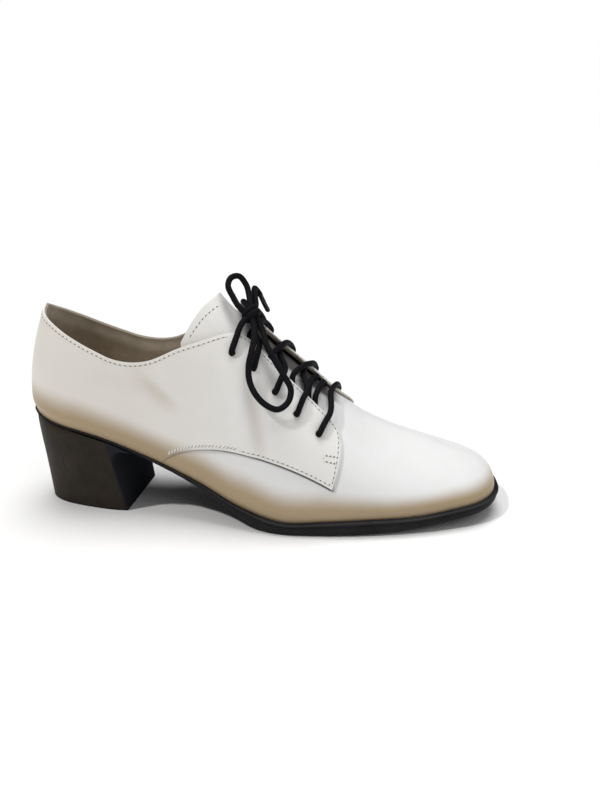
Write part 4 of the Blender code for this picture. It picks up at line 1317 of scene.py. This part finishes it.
def smooth_route(points, step=LACE_STEP):
    """Evenly spaced points along a smooth curve through a route's own points."""
    points = np.array(points, dtype=float)
    for _ in range(2):
        run = run_along(points)
        rows = {"run": run, "x": points[:, 0], "y": points[:, 1], "z": points[:, 2]}
        at = np.linspace(0, run[-1], max(int(round(run[-1] / step)), 6) + 1)
        points = np.stack([smooth(rows, "run", axis, at) for axis in "xyz"], axis=1)
    return points


def tube(name, route, aglet=0.0):
    """Round cord along a route: a grid rolled up, with its UV in mm along and 0 to 1 around.

    An aglet, the smooth tip of a lace, takes up the given length at its far end."""
    radius = sizes().lace_diameter / MM / 2
    count = len(route)
    along = unit(np.gradient(route, axis=0))
    across = np.empty_like(along)
    across[0] = unit(np.cross(along[0], UP if abs(along[0][2]) < 0.9 else FORWARD))
    for k in range(1, count):
        across[k] = unit(across[k - 1] - along[k] * (across[k - 1] @ along[k]))
    up = np.cross(along, across)
    run = run_along(route)
    size = np.full(count, radius)
    for distance in (run, run[-1] - run):
        size = np.minimum(size, radius * np.sqrt(np.clip(1 - (1 - np.clip(distance / radius, 0, 1))**2, 0, 1)))
    tip = ease(run[-1] - aglet - AGLET_STEP, run[-1] - aglet + AGLET_STEP, run) if aglet else np.zeros(count)
    size = np.maximum(size * (1 - AGLET_THIN * tip), TIP_RADIUS)
    turn = np.linspace(0, 2 * np.pi, LACE_SIDES + 1)
    ring = np.cos(turn)[None, :, None] * across[:, None] + np.sin(turn)[None, :, None] * up[:, None]
    points = route[:, None] + size[:, None, None] * ring
    cord, i, j = wrap_grid(
        name, count - 1, LACE_SIDES, lambda i, j: points[i, j], lambda i, j: {"tip": tip[i]})
    uv = np.empty(len(cord.data.loops) * 2, dtype=np.float32)
    layer = cord.data.uv_layers[0]
    layer.name = "UVMap"
    layer.data.foreach_get("uv", uv)
    uv[0::2] *= run[-1]
    layer.data.foreach_set("uv", uv)
    edit(cord, weld(0.004), face_out)
    shade(cord, ROUND_SHADE_ANGLE)
    return cord


def fine_ends(route):
    """Closer points at both ends, so that the tips come out round."""
    run = run_along(route)
    near = END_LENGTH * (1 - np.cos(np.linspace(0, np.pi / 2, END_POINTS)))
    between = run[(run > END_CLEAR) & (run < run[-1] - END_CLEAR)]
    return read_line(route, run, np.concatenate([near, between, run[-1] - near[::-1]]))


def through_hole(side, index):
    """Lace points from inside the shoe up through a hole."""
    return [over(side, *hole_spot(side, index), lift) for lift in HOLE_LIFTS]


def to_edge(side, index, lean=0.0):
    """Lace points from a hole over the leather to the edge of its facing, leaning forward on the way."""
    share, width = hole_spot(side, index)
    edge = facing_width(side, share + lean)
    return [
        over(side, share + lean * part, width + (edge - width) * part, lift)
        for part, lift in zip(FACING_PARTS, FACING_LIFTS)]


def in_gap(share, width, lift):
    """Point between the facings, whichever side of the ridge it lies on."""
    side = LATERAL if width < crown(LATERAL, share)[Y_AXIS] else MEDIAL
    return over(side, share, width, lift)


def under_facing(side, share):
    """Lace points that slip under a facing, out of sight."""
    edge = facing_width(side, share)
    return [in_gap(share, edge + side * past, lift) for past, lift in TUCK]


def strand(side, index):
    """Half a crossing: out of its hole, over its facing, across the gap and under the far facing."""
    share = hole_spot(side, index)[0]
    if index == HOLE_COUNT - 1:
        share = share + LOWEST_FROM[side]
        far_share = hole_spot(-side, index - 1)[0] + LOWEST_TO[side]
        start = under_facing(side, share)[::-1]
    else:
        lean = ROW_LEAN[side][index]
        far_share = hole_spot(-side, index)[0] + FAR_TUCK[side]
        start = through_hole(side, index) + to_edge(side, index, lean)
        share = share + lean
    middle = in_gap((share + far_share) / 2, GAP_MIDDLE, GAP_LIFT[side])
    return start + [middle] + under_facing(-side, far_share)


def dress_lace(piece, *nodes):
    return dress(piece, material_once("plaited_lace", braided_lace, colours().lace), "black_lace", *nodes)


def build_lacing():
    last = HOLE_COUNT - 1
    lean = ROW_LEAN[LATERAL][last]
    shares = (hole_spot(LATERAL, last)[0] + lean, hole_spot(MEDIAL, last)[0])
    bar = through_hole(LATERAL, last) + to_edge(LATERAL, last, lean)
    bar += [in_gap(sum(shares) / 2, GAP_MIDDLE, BAR_LIFT)]
    bar += to_edge(MEDIAL, last)[::-1] + through_hole(MEDIAL, last)[::-1]
    dress_lace(tube("lacing_bar", smooth_route(bar)), "lace_bar")
    for index in range(1, HOLE_COUNT):
        name = "crossing_%d" % index
        cords = [tube("lacing_" + name, smooth_route(strand(side, index))) for side in SIDES]
        dress_lace(name_piece(join(cords), "lacing_" + name), "lace_" + name)
    for side in SIDES:
        name = "strand_" + side_name(side)
        on_facing = [] if side == LATERAL else to_edge(side, 0)
        route = through_hole(side, 0) + on_facing + [np.array(point) for point in TO_KNOT[side]]
        dress_lace(tube("lacing_" + name, smooth_route(route)), "lace_" + name)


def knot_axes():
    """Directions at the knot: across the bundle of strands, down along it, and out of the instep."""
    down = unit(np.subtract(LACE_ROUTES["lace_loop_lateral"][0], LACE_ROUTES["lace_loop_upper"][2]))
    across = unit(FORWARD - down[0] * down)
    return np.array((across, down, np.cross(down, across)))


def build_knot():
    """Lace wound nearly twice around the strands that meet in the knot, over their core."""
    axes = knot_axes()
    turn = np.linspace(*np.multiply(KNOT_TURNS, np.pi), KNOT_POINTS)
    tall = KNOT_TALL * np.linspace(-1, 1, len(turn))
    wrap = KNOT_CENTRE + np.stack([KNOT_WIDE * np.cos(turn), tall, KNOT_DEEP * np.sin(turn)], axis=1) @ axes
    core = KNOT_CENTRE + np.array(KNOT_CORE) @ axes
    cords = [tube("bow_knot", smooth_route(wrap)), tube("bow_knot_core", smooth_route(core))]
    return dress_lace(name_piece(join(cords), "bow_knot"), "lace_knot")


def build_bow():
    knot = build_knot()
    for node, points in LACE_ROUTES.items():
        inside = KNOT_CENTRE + np.array(INTO_KNOT[node]) @ knot_axes()
        route = smooth_route(np.vstack([inside[:1], points, inside[1:]]), BOW_STEP)
        cord = tube(node.replace("lace", "bow"), fine_ends(route), aglet=AGLET.get(node, 0.0))
        dress_lace(cord, node)
        path = to_metres(route)[:: max(len(route) // PATH_POINTS, 1)]
        path = np.vstack([path, to_metres(route)[-1:]])
        float(run_along(route)[-1] * MM)


# ---- stitching ------------------------------------------------------------------------------------

def resample(points, normals, pitch):
    """Points and normals at an even pitch along a row."""
    run = run_along(points)
    count = max(int(run[-1] / pitch), 1)
    at = (np.arange(count) + 0.5) * run[-1] / count
    along = read_line(points, run, at + STITCH_FEEL) - read_line(points, run, at - STITCH_FEEL)
    return read_line(points, run, at), read_line(normals, run, at), unit(along)


def sew(name, rows, length, width, height, skew):
    """One stitch, modelled once and copied along rows of points and normals into one mesh."""
    deselect()
    bpy.ops.mesh.primitive_uv_sphere_add(segments=8, ring_count=5, radius=0.5)
    model = bpy.context.object
    shape = read_points(model.data)
    faces = [list(face.vertices) for face in model.data.polygons]
    bpy.data.objects.remove(model, do_unlink=True)
    verts, polys = [], []
    for points, normals, along in rows:
        for spot, normal, forward in zip(points, normals, along):
            normal = unit(normal)
            side = unit(np.cross(normal, forward))
            forward = np.cross(side, normal)
            turned = forward * math.cos(skew) + side * math.sin(skew)
            beside = np.cross(normal, turned)
            base = len(verts) * len(shape)
            verts.append(spot + shape[:, 2:3] * length * turned + shape[:, 1:2] * width * beside
                         + shape[:, 0:1] * height * normal)
            polys += [[v + base for v in face] for face in faces]
    mesh = bpy.data.meshes.new(name)
    mesh.from_pydata(to_metres(np.concatenate(verts)).tolist(), [], polys)
    mesh.update()
    piece = bpy.data.objects.new(name, mesh)
    bpy.context.scene.collection.objects.link(piece)
    edit(piece, face_out)
    shade(piece, ROUND_SHADE_ANGLE)
    return piece


def inset_up(side, columns, inset, rim):
    """How far up each column of a quarter lies a line at a distance from its rim or its seam."""
    steps = np.linspace(0.55, 1.0, 60) if rim else np.linspace(0.0, 0.45, 60)
    grid_columns = np.broadcast_to(columns[:, None], (len(columns), len(steps)))
    share, climb = quarter_spots(side, grid_columns, np.broadcast_to(steps, grid_columns.shape))
    points = form(side, share, climb)
    gap = np.linalg.norm(np.diff(points, axis=1), axis=2)
    run = np.concatenate([np.zeros((len(columns), 1)), np.cumsum(gap, axis=1)], axis=1)
    if rim:
        run = run[:, -1:] - run
        return np.array([np.interp(inset, line[::-1], steps[::-1]) for line in run])
    return np.array([np.interp(inset, line, steps) for line in run])


def face_row(side, columns, shares_up):
    """Points and normals along a line on a quarter's face."""
    share, climb = quarter_spots(side, columns, shares_up)
    return quarter_face(side, columns, shares_up), form_normal(side, share, climb)


def quarter_stitch_lines(side):
    """Lines of stitching on one quarter: collar, then facing, tab and the front of the seam."""
    corner = tab_corner(side)
    collar = np.linspace(*COLLAR_STITCHED, 90)
    facing = runs_of((FACING_FROM, TAB_FROM, 39), (TAB_FROM, corner - TAB_INSET, 23))
    facing_up = inset_up(side, facing, RIM_INSET, True)
    front_up = np.linspace(facing_up[-1], TAB_LOW, 40)[1:]
    front = np.full_like(front_up, corner - TAB_INSET)
    seam = np.linspace(corner - TAB_TURN, ROPE_FROM, 80)
    columns = np.concatenate([facing, front, seam])
    ups = np.concatenate([facing_up, front_up, inset_up(side, seam, SEAM_INSET, False)])
    return [face_row(side, collar, inset_up(side, collar, RIM_INSET, True)), face_row(side, columns, ups)]


def rope_line(side):
    """Heavier slanted stitches along the rear of the seam."""
    rear = np.linspace(ROPE_FROM, ROPE_TO, 50)
    return face_row(side, rear, inset_up(side, rear, ROPE_INSET, False))


def bar_tack_lines(side):
    """Two short rows across the tab, closed at their back."""
    lines = []
    for start, end in zip(TACK, TACK[1:]):
        share, height = (np.linspace(a, b, 12) for a, b in zip(start, end))
        share = share + TAB_AHEAD[side]
        climb = climb_where(side, share, Z_AXIS, height)
        base, normal = form(side, share, climb), form_normal(side, share, climb)
        lift = sizes().quarter_face / MM + crease_lift(side, share, base)
        lines.append((base + lift[:, None] * normal, normal))
    return lines


def tongue_lines():
    """Row of stitching along the tongue's top edge."""
    lines = []
    for side in SIDES:
        share = np.linspace(*TONGUE_STITCHED, 30)
        height = smooth(TONGUE_TOP, "share", "height", share) - TONGUE_INSET
        climb = climb_where(side, share, Z_AXIS, height)
        lines.append((skin(side, share, climb, -sizes().tongue_drop / MM), form_normal(side, share, climb)))
    return lines


def between_stitches(rows):
    """Places halfway from stitch to stitch along rows."""
    return [
        ((points[1:] + points[:-1]) / 2, (normals[1:] + normals[:-1]) / 2, along[:-1])
        for points, normals, along in rows]


def build_stitching():
    pitch, thread = sizes().stitch_pitch / MM, sizes().thread / MM
    scale = (pitch, thread, thread, 1.0)
    white, bright, dark, painted_light = (
        material_once(name, sewing_thread, tint, gloss=gloss) for name, tint, gloss in (
            ("sewing_thread", colours().thread, 0.6), ("rope_thread", colours().rope, 0.6),
            ("needle_marks", colours().needle, 0.8), ("rope_marks", colours().rope_marks, 0.8)))
    for side in SIDES:
        rows = [resample(*line, pitch) for line in quarter_stitch_lines(side)]
        tack = [resample(*line, TACK_PITCH) for line in bar_tack_lines(side)]
        rope = [resample(*rope_line(side), ROPE_PITCH)]
        # Needle, tack and rope marks are dark pieces between the stitches: painted shade in the needle holes and
        # between the rope stitches.
        for name, places, stitch, material in (
                ("stitching", rows + tack, np.multiply(STITCH, scale), white),
                ("needle_marks", between_stitches(rows), NEEDLE_MARK, dark),
                ("tack_marks", between_stitches(tack), TACK_MARK, dark),
                ("rope_stitching", rope, ROPE_STITCH, bright),
                ("rope_marks", between_stitches(rope), ROPE_MARK, painted_light)):
            dress(sew(name + "_" + side_name(side), places, *stitch), material, "white_leather_quarter")
    rows = [resample(*line, pitch) for line in tongue_lines()]
    dress(sew("stitching_tongue", rows, *np.multiply(TONGUE_STITCH, scale)), dark, "white_leather_vamp")


# ---- stage ----------------------------------------------------------------------------------------

def studio_light(name, come_from, strength, softness, tint):
    """Even light from one direction, as soft as its angle in degrees is wide."""
    deselect()
    bpy.ops.object.light_add(type="SUN", location=come_from)
    light = bpy.context.object
    light.name = name
    light.data.energy = strength
    light.data.angle = math.radians(softness)
    light.data.color = tint
    light.rotation_euler = (-Vector(come_from)).to_track_quat("-Z", "Y").to_euler()


def build_stage():
    deselect()
    bpy.ops.mesh.primitive_grid_add(x_subdivisions=FLOOR_CELLS, y_subdivisions=FLOOR_CELLS, size=FLOOR_SIZE)
    floor = name_piece(bpy.context.object, "floor")
    floor.data.materials.append(material_once("pale_floor", pale_floor, colours().floor))
    world = bpy.data.worlds.new("studio")
    world.use_nodes = True
    t = Tree(world.node_tree)
    background = world.node_tree.nodes["Background"]
    seen = t.node("LightPath").outputs["Is Camera Ray"]
    t.put(background.inputs["Strength"], t.spread(seen, 0.0, 1.0, AMBIENT, 1.0))
    background.inputs["Color"].default_value = (1.0, 1.0, 1.0, 1.0)
    bpy.context.scene.world = world
    bpy.context.scene.view_settings.view_transform = "Standard"
    for name, light in LIGHTS.items():
        studio_light(name, *light)
    deselect()
    bpy.ops.object.camera_add(
        location=to_metres(CAMERA_PLACE), rotation=(math.radians(CAMERA_TILT), 0.0, math.radians(CAMERA_TURN)))
    camera = bpy.context.object
    camera.name = "camera"
    camera.data.lens, camera.data.sensor_width = CAMERA_LENS, CAMERA_SENSOR
    camera.data.clip_start, camera.data.clip_end = CAMERA_CLIP
    bpy.context.scene.camera = camera


# ---- operators ------------------------------------------------------------------------------------

class MakeStage(bpy.types.Operator):
    """Add the floor, the studio light and the camera"""
    bl_idname = "shoe.stage"
    bl_label = "Stage"
    bl_options = {"REGISTER", "UNDO"}

    def execute(self, context):
        build_stage()
        return {"FINISHED"}


class MakeBow(bpy.types.Operator):
    """Add the knot, the two loops and the two ends of the bow"""
    bl_idname = "shoe.bow"
    bl_label = "Bow"
    bl_options = {"REGISTER", "UNDO"}

    def execute(self, context):
        build_bow()
        return {"FINISHED"}


class MakeLacing(bpy.types.Operator):
    """Run the lace through the holes"""
    bl_idname = "shoe.lacing"
    bl_label = "Lacing"
    bl_options = {"REGISTER", "UNDO"}

    def execute(self, context):
        build_lacing()
        return {"FINISHED"}


class MakeVamp(bpy.types.Operator):
    """Add the vamp with its tongue"""
    bl_idname = "shoe.vamp"
    bl_label = "Vamp and tongue"
    bl_options = {"REGISTER", "UNDO"}

    def execute(self, context):
        build_vamp()
        return {"FINISHED"}


class MakeQuarters(bpy.types.Operator):
    """Add the two quarters with their facings and lace holes"""
    bl_idname = "shoe.quarters"
    bl_label = "Quarters"
    bl_options = {"REGISTER", "UNDO"}

    def execute(self, context):
        for side in SIDES:
            build_quarter(side)
        return {"FINISHED"}


class MakeLining(bpy.types.Operator):
    """Add the lining and the insole"""
    bl_idname = "shoe.lining"
    bl_label = "Lining and insole"
    bl_options = {"REGISTER", "UNDO"}

    def execute(self, context):
        build_lining()
        build_insole()
        return {"FINISHED"}


class MakeSole(bpy.types.Operator):
    """Add the outsole with its rand, groove and bevel"""
    bl_idname = "shoe.outsole"
    bl_label = "Outsole"
    bl_options = {"REGISTER", "UNDO"}

    def execute(self, context):
        build_outsole()
        return {"FINISHED"}


class MakeHeel(bpy.types.Operator):
    """Add the block heel"""
    bl_idname = "shoe.heel"
    bl_label = "Heel"
    bl_options = {"REGISTER", "UNDO"}

    def execute(self, context):
        build_heel()
        return {"FINISHED"}


class MakeStitching(bpy.types.Operator):
    """Sew the rows of stitches"""
    bl_idname = "shoe.stitching"
    bl_label = "Stitching"
    bl_options = {"REGISTER", "UNDO"}

    def execute(self, context):
        build_stitching()
        return {"FINISHED"}


STEPS = (MakeStage, MakeBow, MakeLacing, MakeVamp, MakeQuarters, MakeLining, MakeSole, MakeHeel, MakeStitching)


class ShoePanel(bpy.types.Panel):
    """Steps and values of the shoe"""
    bl_idname = "VIEW3D_PT_shoe"
    bl_label = "Lace-up heeled shoe"
    bl_space_type = "VIEW_3D"
    bl_region_type = "UI"
    bl_category = "Shoe"

    def draw(self, context):
        for step in STEPS:
            self.layout.operator(step.bl_idname)
        for group in (context.scene.shoe_sizes, context.scene.shoe_colours):
            box = self.layout.box()
            for name in group.bl_rna.properties.keys():
                if name not in ("rna_type", "name"):
                    box.prop(group, name)


CLASSES = (ShoeSizes, ShoeColours, *STEPS, ShoePanel)


def register():
    for item in CLASSES:
        bpy.utils.register_class(item)
    bpy.types.Scene.shoe_sizes = bpy.props.PointerProperty(type=ShoeSizes)
    bpy.types.Scene.shoe_colours = bpy.props.PointerProperty(type=ShoeColours)


def unregister():
    del bpy.types.Scene.shoe_colours
    del bpy.types.Scene.shoe_sizes
    for item in reversed(CLASSES):
        bpy.utils.unregister_class(item)


def main():
    register()
    for step in STEPS:
        family, name = step.bl_idname.split(".")
        getattr(getattr(bpy.ops, family), name)()


if __name__ == "__main__":
    main()
